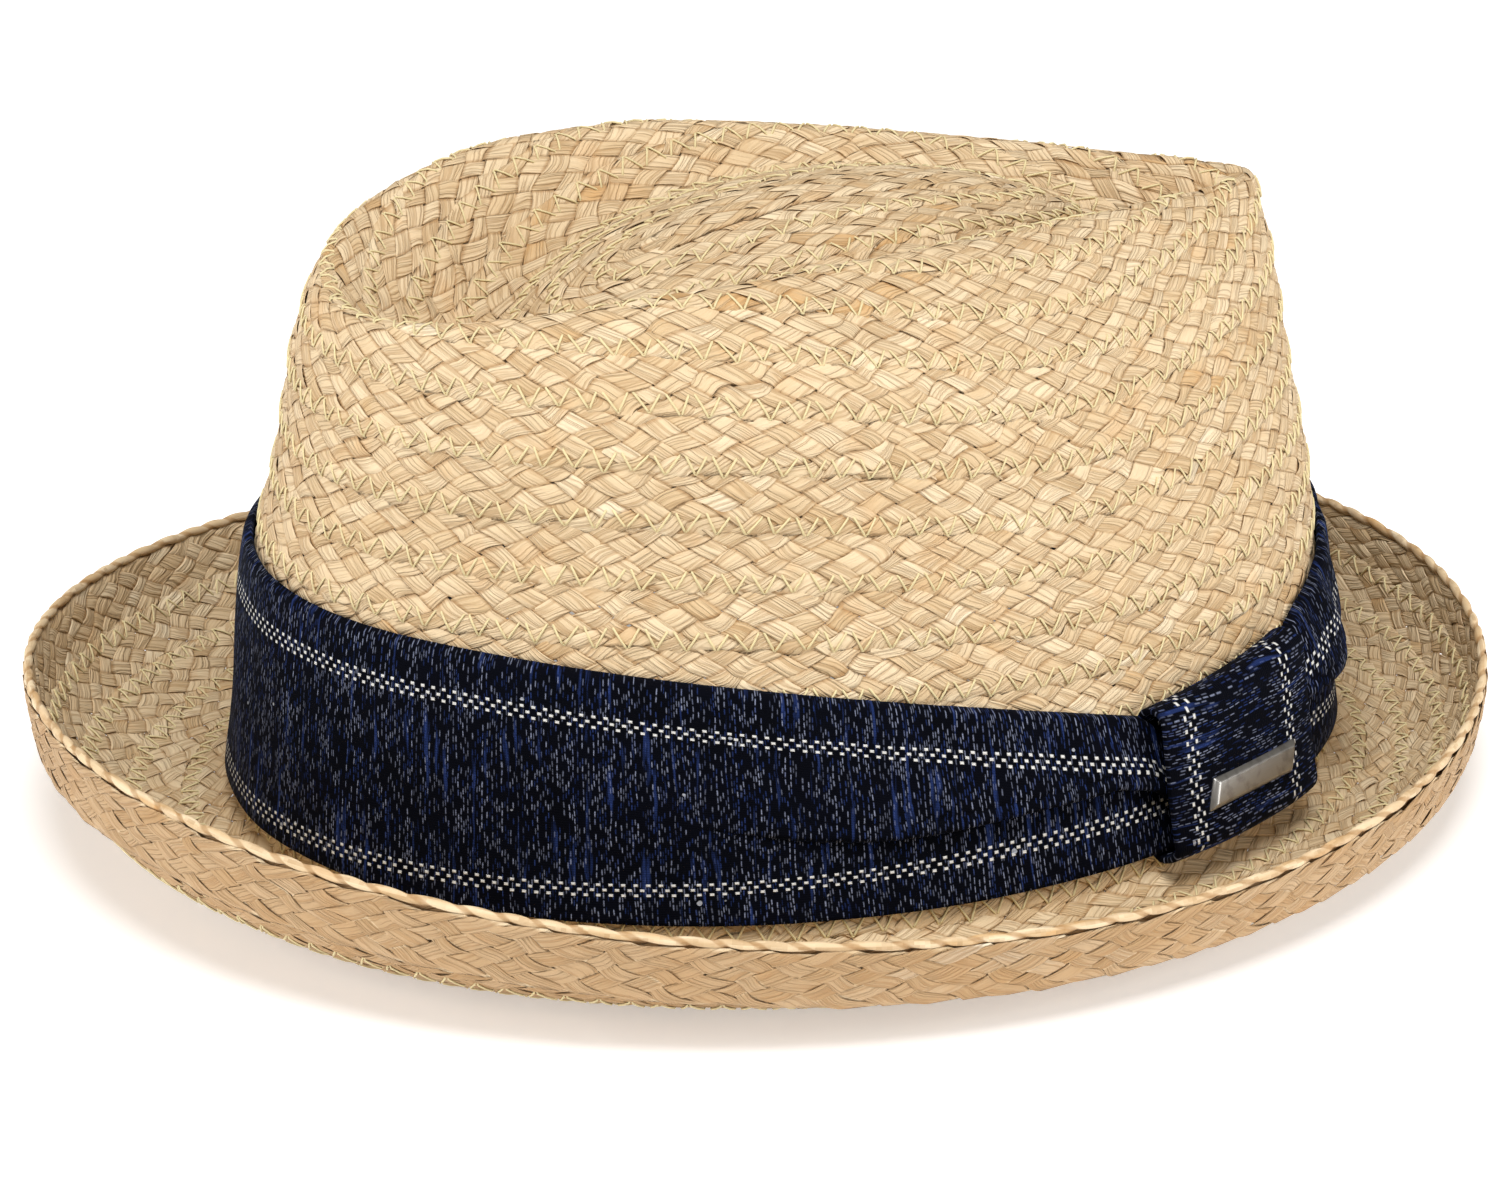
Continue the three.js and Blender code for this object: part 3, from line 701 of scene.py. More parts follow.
def woven_label(lining):
    """Satin label cloth with a woven border and nothing written on it."""
    finish = Finish("label_satin")
    u, v = finish.uv()
    thread = ((v / 0.3).fraction() - 0.5).size() * 2
    border = (u.size().below(10.4, 0.1) * v.size().below(7.4, 0.1)) * (1 - u.size().below(9.8, 0.1) * v.size().below(6.8, 0.1))
    colour = finish.blend(thread * 0.4, tuple(lining.label), tuple(0.8 * part for part in lining.label))
    colour = finish.blend(border, colour, linear(70, 72, 84))
    normal = finish.bump(thread + border * 2, 0.0001, 0.5)
    return finish.surface(Base_Color=colour, Roughness=0.45, Normal=normal, Sheen_Weight=0.1)


def brushed_metal(badge):
    """Brushed and slightly worn nickel."""
    finish = Finish("brushed_nickel")
    u, v = finish.uv()
    streak = finish.noise(finish.vector(u * 0.35, v * 9), 1.0, 4.0, 0.6)
    wear = finish.noise(finish.place(), 400.0, 3.0)
    colour = finish.blend(streak, tuple(badge.metal), tuple(0.7 * part for part in badge.metal))
    colour = finish.blend(wear.below(0.42, 0.15) * 0.35, colour, linear(96, 92, 88))
    normal = finish.bump(streak, 0.00004, 0.5)
    return finish.surface(Base_Color=colour, Roughness=0.26 + streak * 0.2, Metallic=1.0, Normal=normal)


# ---- Settings ----
def length(name, description, default):
    return FloatProperty(name=name, description=description, default=default, precision=5, subtype="DISTANCE", unit="LENGTH")


def colour(name, description, default):
    return FloatVectorProperty(name=name, description=description, default=default, size=3, min=0, max=1, subtype="COLOR")


class PlaitSettings(bpy.types.PropertyGroup):
    strand_pitch: length("Strand pitch", "Distance between two strands along the plait", 0.0074)
    width: length("Width", "Width of the plait", 0.0133)
    strand_thickness: length("Strand thickness", "Thickness of one raffia strand", 0.00019)
    undulation: length("Undulation", "How far a strand rises and falls from the middle of the plait", 0.00022)
    cover: FloatProperty(name="Cover", description="Width of a strand against its pitch", default=0.97, min=0.7, max=1.1)
    looseness: FloatProperty(name="Looseness", description="How unevenly the strands lie", default=1.0, min=0.0, max=3.0)
    pale: colour("Pale straw", "Colour of the palest common strands", linear(233, 212, 177))
    tan: colour("Tan straw", "Colour of the darkest common strands", linear(208, 179, 138))
    seed: IntProperty(name="Seed", description="Start of the random unevenness", default=11)


class StitchSettings(bpy.types.PropertyGroup):
    pitch: length("Stitch pitch", "Length of one full zigzag along the seam", 0.0053)
    thread: length("Thread", "Diameter of the sewing thread", 0.00044)
    colour: colour("Thread colour", "Colour of the sewing thread", linear(230, 214, 166))


class BandSettings(bpy.types.PropertyGroup):
    thickness: length("Thickness", "Thickness of the band's cloth", 0.0009)
    standoff: length("Standoff", "Distance of the band from the crown", 0.0013)
    pleat: length("Pleat", "Depth of the pleat where it is deepest", 0.006)
    bulge: length("Bulge", "How far the cloth above the pleat stands out", 0.0022)
    dark: colour("Dark cloth", "Darkest colour of the linen", linear(8, 9, 13))
    navy: colour("Navy cloth", "Bluest colour of the linen", linear(12, 14, 24))
    fleck: colour("Fleck", "Colour of the light warp flecks", linear(138, 146, 172))
    slub: colour("Slub", "Colour of the thick blue threads", linear(58, 80, 148))
    stripe: colour("Pinstripe", "Colour of the dashed stripes", linear(232, 232, 228))


class KeeperSettings(bpy.types.PropertyGroup):
    start: FloatProperty(name="Start", description="Degrees from the front to the keeper's near edge", default=106.2)
    end: FloatProperty(name="End", description="Degrees from the front to the keeper's far edge", default=129.5)
    ply: length("Ply", "Thickness of the folded cloth", 0.0012)
    stand: length("Stand", "How far the keeper's face stands off the crown", 0.0059)


class BadgeSettings(bpy.types.PropertyGroup):
    length: length("Length", "Length of the bar", 0.025)
    height: length("Height", "Height of the bar", 0.0056)
    thickness: length("Thickness", "Thickness of the bar", 0.0018)
    slant: length("Slant", "How far the bar's ends lean", 0.0024)
    metal: colour("Metal", "Colour of the brushed metal", (0.46, 0.45, 0.43))


class LiningSettings(bpy.types.PropertyGroup):
    wave: length("Wave", "How far the sweatband waves off its plain oval", 0.0006)
    cotton: colour("Cotton", "Colour of the sweatband", linear(46, 46, 52))
    tape: colour("Tape", "Colour of the binding and the bow", linear(26, 26, 32))
    label: colour("Label", "Colour of the label", linear(226, 222, 210))


class StageSettings(bpy.types.PropertyGroup):
    azimuth: FloatProperty(name="Azimuth", description="Degrees from the front to the camera", default=62.0)
    elevation: FloatProperty(name="Elevation", description="Degrees of the camera above the hat", default=20.9)
    distance: length("Distance", "Distance of the camera", 1.30)
    lens: FloatProperty(name="Lens", description="Focal length in millimetres", default=169.2)


# ---- Operators: plait and seams ----
def settings(name):
    return getattr(bpy.context.scene, "fedora_" + name)


def finished(name, maker, *arguments):
    """A finish made once and then shared."""
    return bpy.data.materials.get(name) or maker(*arguments)


def straw():
    return bpy.data.materials.get("raffia_straw") or raffia("raffia_straw", settings("plait"))


class HAT_OT_tip(bpy.types.Operator):
    """Weave the plait of the tip"""

    bl_idname = "fedora.tip"
    bl_label = "Tip plait"

    def execute(self, context):
        plait = settings("plait")
        ridge_plait("plait_tip_centre", "tip_centre", plait, plait.seed, straw())
        for row in range(1, TIP_ROWS + 1):
            ring_plait(f"plait_tip_{row}", f"tip_row_{row}", row + 0.5, plait, plait.seed + row, straw(), phase=0.13 * row)
        return {"FINISHED"}


class HAT_OT_wall(bpy.types.Operator):
    """Weave the plait of the crown's wall"""

    bl_idname = "fedora.wall"
    bl_label = "Wall plait"

    def execute(self, context):
        plait = settings("plait")
        for row in range(1, int(CROWN_ROWS) - TIP_ROWS + 1):
            ring_plait(
                f"plait_wall_{row}",
                f"wall_row_{row}",
                row + TIP_ROWS + 0.5,
                plait,
                plait.seed + 20 + row,
                straw(),
                phase=0.37 * row,
            )
        return {"FINISHED"}


class HAT_OT_brim(bpy.types.Operator):
    """Weave the plait of the brim and the ply that doubles its edge"""

    bl_idname = "fedora.brim"
    bl_label = "Brim plait"

    def execute(self, context):
        plait = settings("plait")
        for row in range(1, BRIM_ROWS + 1):
            ring_plait(
                f"plait_brim_{row}",
                f"brim_row_{row}",
                CROWN_ROWS + row,
                plait,
                plait.seed + 40 + row,
                straw(),
                phase=0.21 * row,
            )
        self.edge_ply(plait)
        return {"FINISHED"}

    def edge_ply(self, plait):
        shares, angles, length = SURFACE.lap_angles(ALL_ROWS - 0.5)
        units = round(length / plait.strand_pitch)
        brim = SURFACE.brim

        def outside(x, y, lift):
            turn = (x / units) % 1
            angle = np.interp(turn, shares, angles)
            long = np.interp(angle, angles[:-1], brim, period=2 * np.pi)
            row = ALL_ROWS - (0.1 * MM + y * 13 * MM) / long * BRIM_ROWS
            depth = np.interp(y, (0, 0.25, 1), (1.5, 2.1, 3.2)) * MM
            return SURFACE.under(angle, row, depth - lift)

        turn = np.arange(900) / 900 * 2 * np.pi
        centres = SURFACE.under(turn, np.full(900, ALL_ROWS), np.full(900, 0.5 * MM))
        points, faces = tube(centres, SURFACE.normal(turn, np.full(900, ALL_ROWS)), 0.9 * MM, 8)
        ring = points.reshape(900, 8, 3)
        lay = turn[:, None] * 56 + np.arange(8)[None] * np.pi / 8 + 0.5 * np.sin(turn * 23)[:, None]
        lump = np.abs(np.sin(lay)) ** 0.6
        points = centres[:, None] + (ring - centres[:, None]) * (0.45 + 0.6 * lump[..., None])
        fold = np.floor(lay / np.pi)
        tones = 0.52 + 0.3 * np.sin(fold * 12.9898) * np.sin(fold * 78.233)
        # The lift values make the straw finish paint shade in the hollows between the lip's folds.
        values = {"tone": tones, "lift": lump * 2.2 - 1.2}
        i, j = faces[:, 0] // 8, faces[:, 0] % 8
        uvs = np.stack([np.stack([j / 4, i * 0.9], axis=1)] * 4, axis=1)
        make_piece("selvedge_lip", points, faces, (), uvs, values, straw())
        ring_plait("plait_brim_edge", "brim_edge_ply", ALL_ROWS, plait, plait.seed + 60, straw(), place=outside)


class HAT_OT_seams(bpy.types.Operator):
    """Sew the rows together with zigzag thread"""

    bl_idname = "fedora.seams"
    bl_label = "Zigzag seams"

    def execute(self, context):
        stitch, plait = settings("stitch"), settings("plait")
        thread = seam_thread(stitch)
        for part, rows in (
            ("tip", range(1, TIP_ROWS + 1)),
            ("wall", range(TIP_ROWS + 1, int(CROWN_ROWS) + 1)),
            ("brim", range(int(CROWN_ROWS) + 1, int(ALL_ROWS))),
        ):
            for inside in (False, True):
                points, faces, count = [], [], 0
                for row in rows:
                    foot = row + 0.5 if row <= CROWN_ROWS else CROWN_ROWS + row - int(CROWN_ROWS)
                    new_points, new_faces = zigzag("", foot, stitch, plait, 300 + row, thread, inside)
                    points.append(new_points)
                    faces.append(new_faces + count)
                    count += len(new_points)
                side = "inner" if inside else "outer"
                make_piece(
                    f"seam_{part}_{side}", np.concatenate(points), np.concatenate(faces), (), None, None, thread
                )
        return {"FINISHED"}


# ---- Operators: band, keeper and badge ----
BAND_FOOT = 9.5
BAND_TOP = 55.8
BAND_DIP = 23.2
STRIPES = (4.0, 39.0)  # where the pinstripes lie up the cloth, in millimetres


def band_top(degrees):
    """The height of the band's top edge: it dips towards the keeper and rises again behind it."""
    down = np.clip((degrees - 25) / 83, 0, 1) ** 1.9
    up = np.clip((degrees - 110) / 105, 0, 1)
    held = smooth(105.5, 110, degrees) * (1 - smooth(124, 138, degrees))
    return BAND_TOP - BAND_DIP * (down - up) - 3.2 * held


def pleated(degrees):
    """How far the pleat is formed, from 0 to 1."""
    return smooth(48, 92, degrees) * (1 - smooth(142, 186, degrees))


def band_path(degrees, t, band):
    """The band's section at an angle: height and standoff in millimetres, and place up the cloth."""
    top, fold = band_top(degrees), pleated(degrees)
    stripe_low = 13.2 + 4.2 * np.clip(degrees / 90, 0, 1) * (1 - smooth(131, 200, degrees))
    stripe_high = top - 8.4
    crease = np.minimum(21.5 + 3.5 * smooth(60, 95, degrees), stripe_high - 2.6)
    depth, hang = np.minimum(band.pleat / MM, (top - crease) * 0.35), 1.6
    stand, bulge = band.standoff / MM, band.bulge / MM
    marks = (0, 0.28, 0.34, 0.40, 0.44, 0.60, 1.0)
    folded_z = [BAND_FOOT, crease, crease + depth, crease + depth, crease - hang * 0.4, crease + 1.5, top]
    folded_off = [stand, stand, stand + 0.2, stand + 1.1, stand + 1.5, stand + bulge, stand]
    z_fold = np.interp(t, marks, folded_z)
    off_fold = np.interp(t, marks, folded_off)
    lip = np.exp(-(((t - 0.47) / 0.045) ** 2))
    off_fold = off_fold + 0.7 * lip
    z_fold = z_fold - hang * 0.6 * np.exp(-(((t - 0.455) / 0.03) ** 2))
    z_flat = BAND_FOOT + (top - BAND_FOOT) * t
    z = z_flat * (1 - fold) + z_fold * fold
    off = stand * (1 - fold) + off_fold * fold
    off = off + 2.4 * np.exp(-(((degrees - 141) / 8) ** 2)) * np.sin(np.pi * t) ** 0.7
    spread = (STRIPES[1] - STRIPES[0]) / (stripe_high - stripe_low)
    scale = 1 + (spread - 1) * (1 - fold)
    low = STRIPES[0] + (z - stripe_low) * scale
    high = STRIPES[1] + (z - stripe_high) * scale
    share = smooth(0.28, 0.44, t)
    return z, off, low * (1 - share) + high * share


class HAT_OT_band(bpy.types.Operator):
    """Wrap the pleated linen band round the crown"""

    bl_idname = "fedora.band"
    bl_label = "Linen band"

    def execute(self, context):
        band = settings("band")
        turns, levels = 480, 64
        degrees = np.arange(turns) / turns * 360
        t = np.concatenate([np.linspace(0, 0.27, 14, endpoint=False), np.linspace(0.27, 0.60, 28, endpoint=False)])
        t = np.concatenate([t, np.linspace(0.60, 1, levels - len(t))])
        heights, offsets, cloth = (np.empty((turns, levels)) for _ in range(3))
        for i, degree in enumerate(degrees):
            heights[i], offsets[i], cloth[i] = band_path(degree, t, band)
        angle = np.radians(degrees)[:, None] + 0 * heights
        ripple = 0.25 * np.sin(3 * angle + 1) * np.sin(heights / 14) + 0.12 * np.sin(17 * angle + heights / 6)
        gather = pleated(degrees)[:, None] * 0.35 * np.sin(angle * 40 + heights * 0.25) * smooth(0.44, 0.7, t)[None]
        hem = 1 - 0.8 * smooth(0.975, 1, t)[None]
        offsets = (offsets + ripple + gather) * hem
        rows = SURFACE.row_at(angle, heights * MM)
        points = SURFACE.under(angle, rows, -offsets * MM)
        faces = grid_faces(turns, levels, True, False)
        around = np.concatenate([[0], np.cumsum(np.linalg.norm(np.diff(points[:, 5], axis=0), axis=1))]) / MM
        around = np.append(around, around[-1] + np.linalg.norm(points[0, 5] - points[-1, 5]) / MM)
        i, j = faces[:, 0] // levels, faces[:, 0] % levels
        u = np.stack([around[i], around[i], around[i + 1], around[i + 1]], axis=1)
        k = (i + 1) % turns
        v = np.stack([cloth[i, j], cloth[i, j + 1], cloth[k, j + 1], cloth[k, j]], axis=1)
        piece = make_piece(
            "linen_band",
            points,
            faces[:, ::-1],
            ("hat_band",),
            np.stack([u, v], axis=2)[:, ::-1],
            None,
            linen("slub_linen", band, STRIPES),
        )
        thicken(piece, band.thickness, 0.0)
        return {"FINISHED"}


def thicken(piece, thickness, offset=-1.0, bevel=0.0):
    """Gives a sheet its thickness, and rounds its cut edges if bevel says so."""
    bpy.ops.object.select_all(action="DESELECT")
    piece.select_set(True)
    bpy.context.view_layer.objects.active = piece
    solid = piece.modifiers.new("cloth", "SOLIDIFY")
    solid.thickness, solid.offset, solid.use_even_offset = thickness, offset, False
    bpy.ops.object.modifier_apply(modifier=solid.name)
    if bevel:
        rim = piece.modifiers.new("rim", "BEVEL")
        rim.width, rim.segments, rim.limit_method, rim.angle_limit = bevel, 3, "ANGLE", math.radians(50)
        bpy.ops.object.modifier_apply(modifier=rim.name)
    piece.data.polygons.foreach_set("use_smooth", np.full(len(piece.data.polygons), True))
    piece.select_set(False)


class HAT_OT_keeper(bpy.types.Operator):
    """Fold the keeper loop round the band"""

    bl_idname = "fedora.keeper"
    bl_label = "Keeper loop"

    def execute(self, context):
        keeper, band = settings("keeper"), settings("band")
        steps, around = 30, 96
        degrees = np.linspace(keeper.start, keeper.end, steps)
        arc = math.radians(1) * 102  # millimetres round the hat in one degree
        far, near, foot = keeper.stand / MM, 0.5, BAND_FOOT - 1.0
        points = np.empty((steps, around, 3))
        cloth = np.empty((steps, around + 1, 2))
        for i, degree in enumerate(degrees):
            side = (degree - keeper.start) / (keeper.end - keeper.start)
            top = 34.3 + 2.9 * side
            off, z = rounded_loop((far - near) / 2, (top - foot) / 2, 2.2, around)
            sag = 0.25 * math.sin(np.pi * side) + 0.15 * math.sin(9 * side)
            off = off + (far + near) / 2 + np.where(off > 0, sag, 0)
            z = z + (top + foot) / 2
            rows = SURFACE.row_at(np.full(around, math.radians(degree)), z * MM)
            points[i] = SURFACE.under(math.radians(degree), rows, -off * MM)
            hops = np.linalg.norm(np.roll(points[i], -1, axis=0) - points[i], axis=1)
            cloth[i, :, 0] = np.concatenate([[0], np.cumsum(hops)]) / MM
            cloth[i, :, 1] = (degree - keeper.start) * arc
        faces = grid_faces(steps, around, False, True)
        i, j = faces[:, 0] // around, faces[:, 0] % around
        uvs = np.stack([cloth[i, j], cloth[i, j + 1], cloth[i + 1, j + 1], cloth[i + 1, j]], axis=1)
        stripes = ((109.4 - keeper.start) * arc, (124.8 - keeper.start) * arc)
        finish = linen("keeper_linen", band, stripes)
        piece = make_piece("linen_keeper", points, faces, ("keeper_loop",), uvs, None, finish)
        thicken(piece, keeper.ply, -1.0, 0.0004)
        return {"FINISHED"}


def rounded_loop(half_depth, half_height, radius, count):
    """Evenly spaced points round an upright rectangle with round corners: depth and height."""
    arc = np.linspace(0, np.pi / 2, 9)
    depth, height = [], []
    for quarter, (x, y) in ((2, (-1, -1)), (3, (1, -1)), (0, (1, 1)), (1, (-1, 1))):
        turn = arc + quarter * np.pi / 2
        depth.append(x * (half_depth - radius) + radius * np.cos(turn))
        height.append(y * (half_height - radius) + radius * np.sin(turn))
    depth, height = (np.concatenate([*part, part[0][:1]]) for part in (depth, height))
    lengths = np.concatenate([[0], np.cumsum(np.hypot(np.diff(depth), np.diff(height)))])
    even = np.linspace(0, lengths[-1], count, endpoint=False)
    return np.interp(even, lengths, depth), np.interp(even, lengths, height)


def badge_frame(badge):
    """The badge's own axes on the keeper's face: x towards the back of the hat, y up, z outwards."""
    angle, height = math.radians(117.8), 17.8 * MM
    row = float(SURFACE.row_at(np.array([angle]), np.array([height]))[0])
    out = Vector(SURFACE.normal(angle, row))
    along = Vector((0, 0, 1)).cross(out).normalized()
    up = out.cross(along)
    centre = Vector(SURFACE.under(angle, row, 0.0)) + out * (settings("keeper").stand + 0.0003)
    turned = Matrix((along, up, out)).transposed().to_4x4()
    return Matrix.Translation(centre) @ turned @ Matrix.Rotation(math.radians(-1), 4, "Z")


def select_faces(piece, wanted):
    """Selects in edit mode the faces for which wanted is true."""
    bpy.ops.object.mode_set(mode="OBJECT")
    for face in piece.data.polygons:
        face.select = wanted(face)
    for edge in piece.data.edges:
        edge.select = False
    for vertex in piece.data.vertices:
        vertex.select = False
    for face in piece.data.polygons:
        if face.select:
            for index in face.vertices:
                piece.data.vertices[index].select = True
    bpy.ops.object.mode_set(mode="EDIT")
    bpy.ops.mesh.select_mode(type="FACE")


class HAT_OT_badge(bpy.types.Operator):
    """Make the blank metal bar on the keeper, and polish its backing plate"""

    bl_idname = "fedora.badge"
    bl_label = "Metal badge"

    def execute(self, context):
        badge = settings("badge")
        metal = brushed_metal(badge)
        bpy.ops.object.select_all(action="DESELECT")
        bpy.ops.mesh.primitive_cube_add(size=1, location=(0, 0, 0))
        bar = bpy.context.object
        bar.name = bar.data.name = "badge_bar"
        for vertex in bar.data.vertices:
            x, y, z = vertex.co
            vertex.co = (x * badge.length + y * badge.slant, y * badge.height, (z + 0.5) * 0.55 * badge.thickness)
        select_faces(bar, lambda face: face.normal.z > 0.9)
        bpy.ops.mesh.inset(thickness=0.0009, depth=0.45 * badge.thickness)
        bpy.ops.object.mode_set(mode="OBJECT")
        round_over = bar.modifiers.new("round", "BEVEL")
        round_over.width, round_over.segments, round_over.limit_method = 0.0003, 3, "ANGLE"
        round_over.angle_limit = math.radians(20)
        bpy.ops.object.modifier_apply(modifier=round_over.name)
        for side in (-1, 1):
            for size, place in (
                ((0.0004, 0.002, 0.0031), (side * 0.0065, 0, -0.0013)),
                ((0.003, 0.002, 0.0004), (side * 0.0052, 0, -0.0027)),
            ):
                bpy.ops.mesh.primitive_cube_add(size=1, location=(0, 0, 0))
                leg = bpy.context.object
                for vertex in leg.data.vertices:
                    vertex.co = tuple(c * s + p for c, s, p in zip(vertex.co, size, place))
                bar.select_set(True)
                bpy.context.view_layer.objects.active = bar
                bpy.ops.object.join()
        bar.data.uv_layers.active.name = "cloth"
        for loop, corner in zip(bar.data.loops, bar.data.uv_layers["cloth"].data):
            point = bar.data.vertices[loop.vertex_index].co
            corner.uv = (point.x / MM, point.y / MM)
        bar.data.transform(badge_frame(badge))
        bpy.ops.object.shade_smooth_by_angle(angle=math.radians(35))
        settle(bar, ("badge_plate",), metal)
        bar.select_set(False)
        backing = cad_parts["badge_backing"]
        backing.data.materials.clear()
        backing.data.materials.append(plain_metal(badge))
        return {"FINISHED"}


def plain_metal(badge):
    """Rolled sheet metal for the hidden backing plate."""
    finish = Finish("rolled_steel")
    grain = finish.noise(finish.place(), 700.0, 3.0)
    colour = finish.blend(grain, tuple(badge.metal), tuple(0.6 * part for part in badge.metal))
    return finish.surface(Base_Color=colour, Roughness=0.3 + grain * 0.25, Metallic=1.0)


# ---- Operators: inside the crown ----
LINING_DEPTH = 3.4
SWEATBAND_FOOT = 9.0
SWEATBAND_HEIGHT = 32.0


class HAT_OT_sweatband(bpy.types.Operator):
    """Sew in the cotton sweatband and its binding"""

    bl_idname = "fedora.sweatband"
    bl_label = "Sweatband"

    def execute(self, context):
        lining = settings("lining")
        turns, levels = 360, 14
        angle = (np.arange(turns) / turns * 2 * np.pi)[:, None] + np.zeros(levels)
        t = np.linspace(0, 1, levels)[None]
        height = (SWEATBAND_FOOT + SWEATBAND_HEIGHT * t + 0 * angle) * MM
        wave = lining.wave * np.sin(9 * angle + 2 * np.sin(2 * angle)) * t
        rows = SURFACE.row_at(angle, height)
        points = SURFACE.under(angle, rows, LINING_DEPTH * MM + 0.0003 + wave + 0.0006 * t)
        faces = grid_faces(turns, levels, True, False)
        i, j = faces[:, 0] // levels, faces[:, 0] % levels
        u, v = 1.62 * (360 / turns) * np.stack([i, i, i + 1, i + 1], axis=1), np.stack([j, j + 1, j + 1, j], axis=1)
        uvs = np.stack([u, v * SWEATBAND_HEIGHT / (levels - 1)], axis=2)
        piece = make_piece("cotton_sweatband", points, faces, ("sweatband",), uvs, None, twill(lining))
        thicken(piece, 0.0009, 1.0)
        self.binding(lining)
        return {"FINISHED"}

    def binding(self, lining):
        turns, sides = 360, 10
        angle = np.arange(turns) / turns * 2 * np.pi
        rows = SURFACE.row_at(angle, np.full(turns, 8.2 * MM))
        centres = SURFACE.under(angle, rows, np.full(turns, (LINING_DEPTH + 1.0) * MM))
        points, faces = tube(centres, SURFACE.normal(angle, rows), 0.95 * MM, sides)
        i = faces[:, 0] // sides
        u = np.where(faces // sides == (i[:, None]), i[:, None], i[:, None] + 1) * 1.62
        uvs = np.stack([u, (faces % sides) * 0.6], axis=2)
        tape = grosgrain(lining)
        make_piece("sweatband_tape", points, faces, ("sweatband_binding",), uvs, None, tape)


def inside_frame(degrees, height, clear):
    """Axes on the sweatband's inner face: x round the hat, y up, z towards the head."""
    angle = math.radians(degrees)
    row = float(SURFACE.row_at(np.array([angle]), np.array([height * MM]))[0])
    inward = -Vector(SURFACE.normal(angle, row))
    along = Vector((0, 0, 1)).cross(inward).normalized()
    up = inward.cross(along)
    centre = Vector(SURFACE.under(angle, row, (LINING_DEPTH + 1.1 + clear) * MM))
    return Matrix.Translation(centre) @ Matrix((along, up, inward)).transposed().to_4x4()


class HAT_OT_bow(bpy.types.Operator):
    """Tie the small bow at the back of the sweatband"""

    bl_idname = "fedora.bow"
    bl_label = "Sweatband bow"

    def execute(self, context):
        lining = settings("lining")
        tape = bpy.data.materials["grosgrain_tape"]
        points, faces, uvs, count = [], [], [], 0
        width = np.linspace(-1, 1, 7)
        for side in (-1, 1):
            s = np.linspace(0, 1, 24)
            x = side * 9.2 * np.sin(np.pi * s) ** 0.7
            z = 0.9 + 0.75 * np.sin(2 * np.pi * s)
            half = 1.3 + 2.5 * np.sin(np.pi * s) ** 0.8
            grid = np.stack([x[:, None] + 0 * width, half[:, None] * width, z[:, None] + 0.25 * (1 - width**2)], axis=2)
            points.append(grid.reshape(-1, 3))
            faces.append(grid_faces(24, 7) + count)
            count += 24 * 7
        s = np.linspace(0, 1, 16, endpoint=False) * 2 * np.pi
        grid = np.stack([1.7 * np.cos(s)[:, None] + 0 * width, 2.0 * width + 0 * s[:, None], 0.95 + 1.0 * np.sin(s)[:, None] + 0 * width], axis=2)
        points.append(grid.reshape(-1, 3))
        faces.append(grid_faces(16, 7, True, False) + count)
        points, faces = np.concatenate(points), np.concatenate(faces)
        uvs = points[faces][:, :, [1, 0]]
        piece = make_piece("sweatband_bow_tape", points * MM, faces, ("sweatband_bow",), uvs, None, tape)
        piece.data.transform(inside_frame(180, 22, 0.2))
        thicken(piece, 0.00035, 0.0)
        return {"FINISHED"}


class HAT_OT_label(bpy.types.Operator):
    """Sew the blank size label to the sweatband"""

    bl_idname = "fedora.label"
    bl_label = "Size label"

    def execute(self, context):
        lining = settings("lining")
        bpy.ops.object.select_all(action="DESELECT")
        bpy.ops.mesh.primitive_grid_add(x_subdivisions=24, y_subdivisions=18, size=1)
        label = bpy.context.object
        label.name = label.data.name = "woven_label"
        layer = label.data.uv_layers.active
        layer.name = "cloth"
        for loop, corner in zip(label.data.loops, layer.data):
            point = label.data.vertices[loop.vertex_index].co
            corner.uv = (point.x * 24, point.y * 18)
        for vertex in label.data.vertices:
            x, y = vertex.co.x * 24, vertex.co.y * 18
            lift = 1.7 + 0.5 * (y / 9) ** 2 * (y < 0) + 0.25 * math.sin(x / 5) - x * x / 180
            vertex.co = (x * MM, y * MM, lift * MM)
        label.data.transform(inside_frame(158, 24, 0.0))
        settle(label, ("size_label",), woven_label(lining))
        thicken(label, 0.0004, 0.0)
        return {"FINISHED"}


# ---- Operator: stage ----
def area_light(name, place, size, power, tint, target):
    data = bpy.data.lights.new(name, "AREA")
    data.shape, data.size, data.energy, data.color = "DISK", size, power, tint
    light = bpy.data.objects.new(name, data)
    light.location = place
    light.rotation_euler = (Vector(target) - Vector(place)).to_track_quat("-Z", "Y").to_euler()
    bpy.context.collection.objects.link(light)


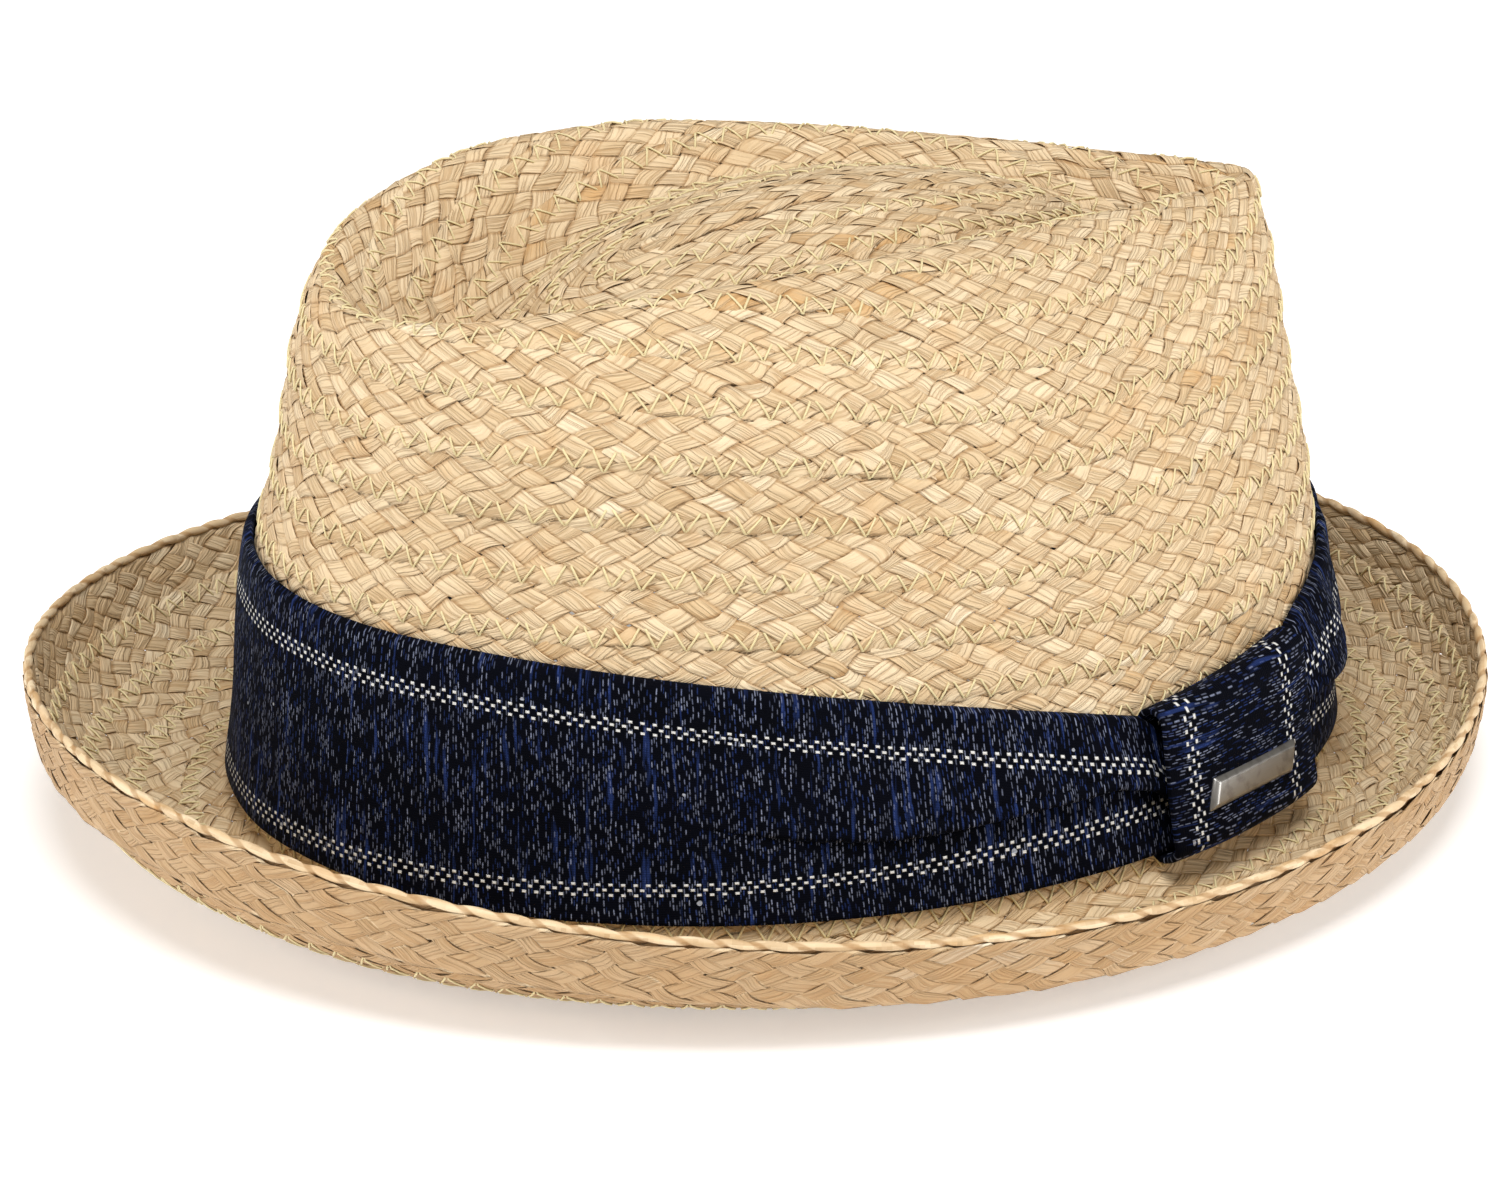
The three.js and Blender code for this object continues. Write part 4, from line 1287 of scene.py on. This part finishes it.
class HAT_OT_stage(bpy.types.Operator):
    """Set the floor, the lights and the camera"""

    bl_idname = "fedora.stage"
    bl_label = "Stage"

    def execute(self, context):
        stage = settings("stage")
        bpy.ops.object.select_all(action="DESELECT")
        bpy.ops.mesh.primitive_plane_add(size=6, location=(0, 0, -0.0002))
        floor = bpy.context.object
        floor.name = "floor"
        finish = Finish("floor_paper")
        grain = finish.noise(finish.place(), 300.0, 2.0)
        paper = finish.blend(grain, (0.90, 0.90, 0.90), (0.93, 0.93, 0.93))
        glow = {"Emission_Color": (1, 1, 1), "Emission_Strength": 0.36}
        floor.data.materials.append(finish.surface(Base_Color=paper, Roughness=0.9, Specular_IOR_Level=0.1, **glow))
        world = bpy.data.worlds.new("studio")
        bpy.context.scene.world = world
        world.use_nodes = True
        background = world.node_tree.nodes["Background"]
        background.inputs["Color"].default_value = (1, 0.92, 0.82, 1)
        background.inputs["Strength"].default_value = 0.22
        azimuth, elevation = math.radians(stage.azimuth), math.radians(stage.elevation)
        back = Vector(
            (math.sin(azimuth) * math.cos(elevation), -math.cos(azimuth) * math.cos(elevation), math.sin(elevation))
        )
        target = Vector((0, 0.0045, 0.060))
        right = Vector((math.cos(azimuth), math.sin(azimuth), 0))
        up = back.cross(right)
        aim = target - right * 0.0061 - up * 0.0242
        data = bpy.data.cameras.new("camera")
        data.sensor_width, data.lens = 36, stage.lens
        data.clip_start, data.clip_end = 0.05, 20
        camera = bpy.data.objects.new("camera", data)
        camera.location = target + back * stage.distance
        camera.rotation_euler = (camera.location - aim).to_track_quat("Z", "Y").to_euler()
        bpy.context.collection.objects.link(camera)
        bpy.context.scene.camera = camera
        centre = (0, 0, 0.05)
        low = Vector((0, 0, 0.15))
        area_light("right", target + back * 0.5 + right * 1.1 + low, 0.9, 7.8, (1, 0.99, 0.98), centre)
        area_light("left", target + back * 0.5 - right * 1.1 + low, 0.9, 7.4, (1, 0.99, 0.98), centre)
        area_light("top", target + back * 0.55 + Vector((0, 0, 1.2)), 0.9, 20, (1, 1, 1), centre)
        view = bpy.context.scene.view_settings
        view.view_transform, view.look = "Standard", "None"
        return {"FINISHED"}


# ---- Panel and start ----
OPERATORS = (
    HAT_OT_stage,
    HAT_OT_tip,
    HAT_OT_wall,
    HAT_OT_brim,
    HAT_OT_seams,
    HAT_OT_band,
    HAT_OT_keeper,
    HAT_OT_badge,
    HAT_OT_sweatband,
    HAT_OT_bow,
    HAT_OT_label,
)
GROUPS = {
    "plait": PlaitSettings,
    "stitch": StitchSettings,
    "band": BandSettings,
    "keeper": KeeperSettings,
    "badge": BadgeSettings,
    "lining": LiningSettings,
    "stage": StageSettings,
}


class HAT_PT_panel(bpy.types.Panel):
    """Lists the steps that make the hat"""

    bl_idname = "HAT_PT_panel"
    bl_label = "Fedora"
    bl_space_type = "VIEW_3D"
    bl_region_type = "UI"
    bl_category = "Fedora"

    def draw(self, context):
        for operator in OPERATORS:
            self.layout.operator(operator.bl_idname)
        for name, group in GROUPS.items():
            box = self.layout.box()
            box.label(text=name.title())
            for key in group.__annotations__:
                box.prop(getattr(context.scene, "fedora_" + name), key)


def register():
    for group in GROUPS.values():
        bpy.utils.register_class(group)
    for name, group in GROUPS.items():
        setattr(bpy.types.Scene, "fedora_" + name, PointerProperty(type=group))
    for operator in OPERATORS:
        bpy.utils.register_class(operator)
    bpy.utils.register_class(HAT_PT_panel)


def unregister():
    bpy.utils.unregister_class(HAT_PT_panel)
    for operator in reversed(OPERATORS):
        bpy.utils.unregister_class(operator)
    for name in GROUPS:
        delattr(bpy.types.Scene, "fedora_" + name)
    for group in reversed(GROUPS.values()):
        bpy.utils.unregister_class(group)


def main():
    register()
    for operator in OPERATORS:
        group, step = operator.bl_idname.split(".")
        getattr(getattr(bpy.ops, group), step)()


if __name__ == "__main__":
    main()
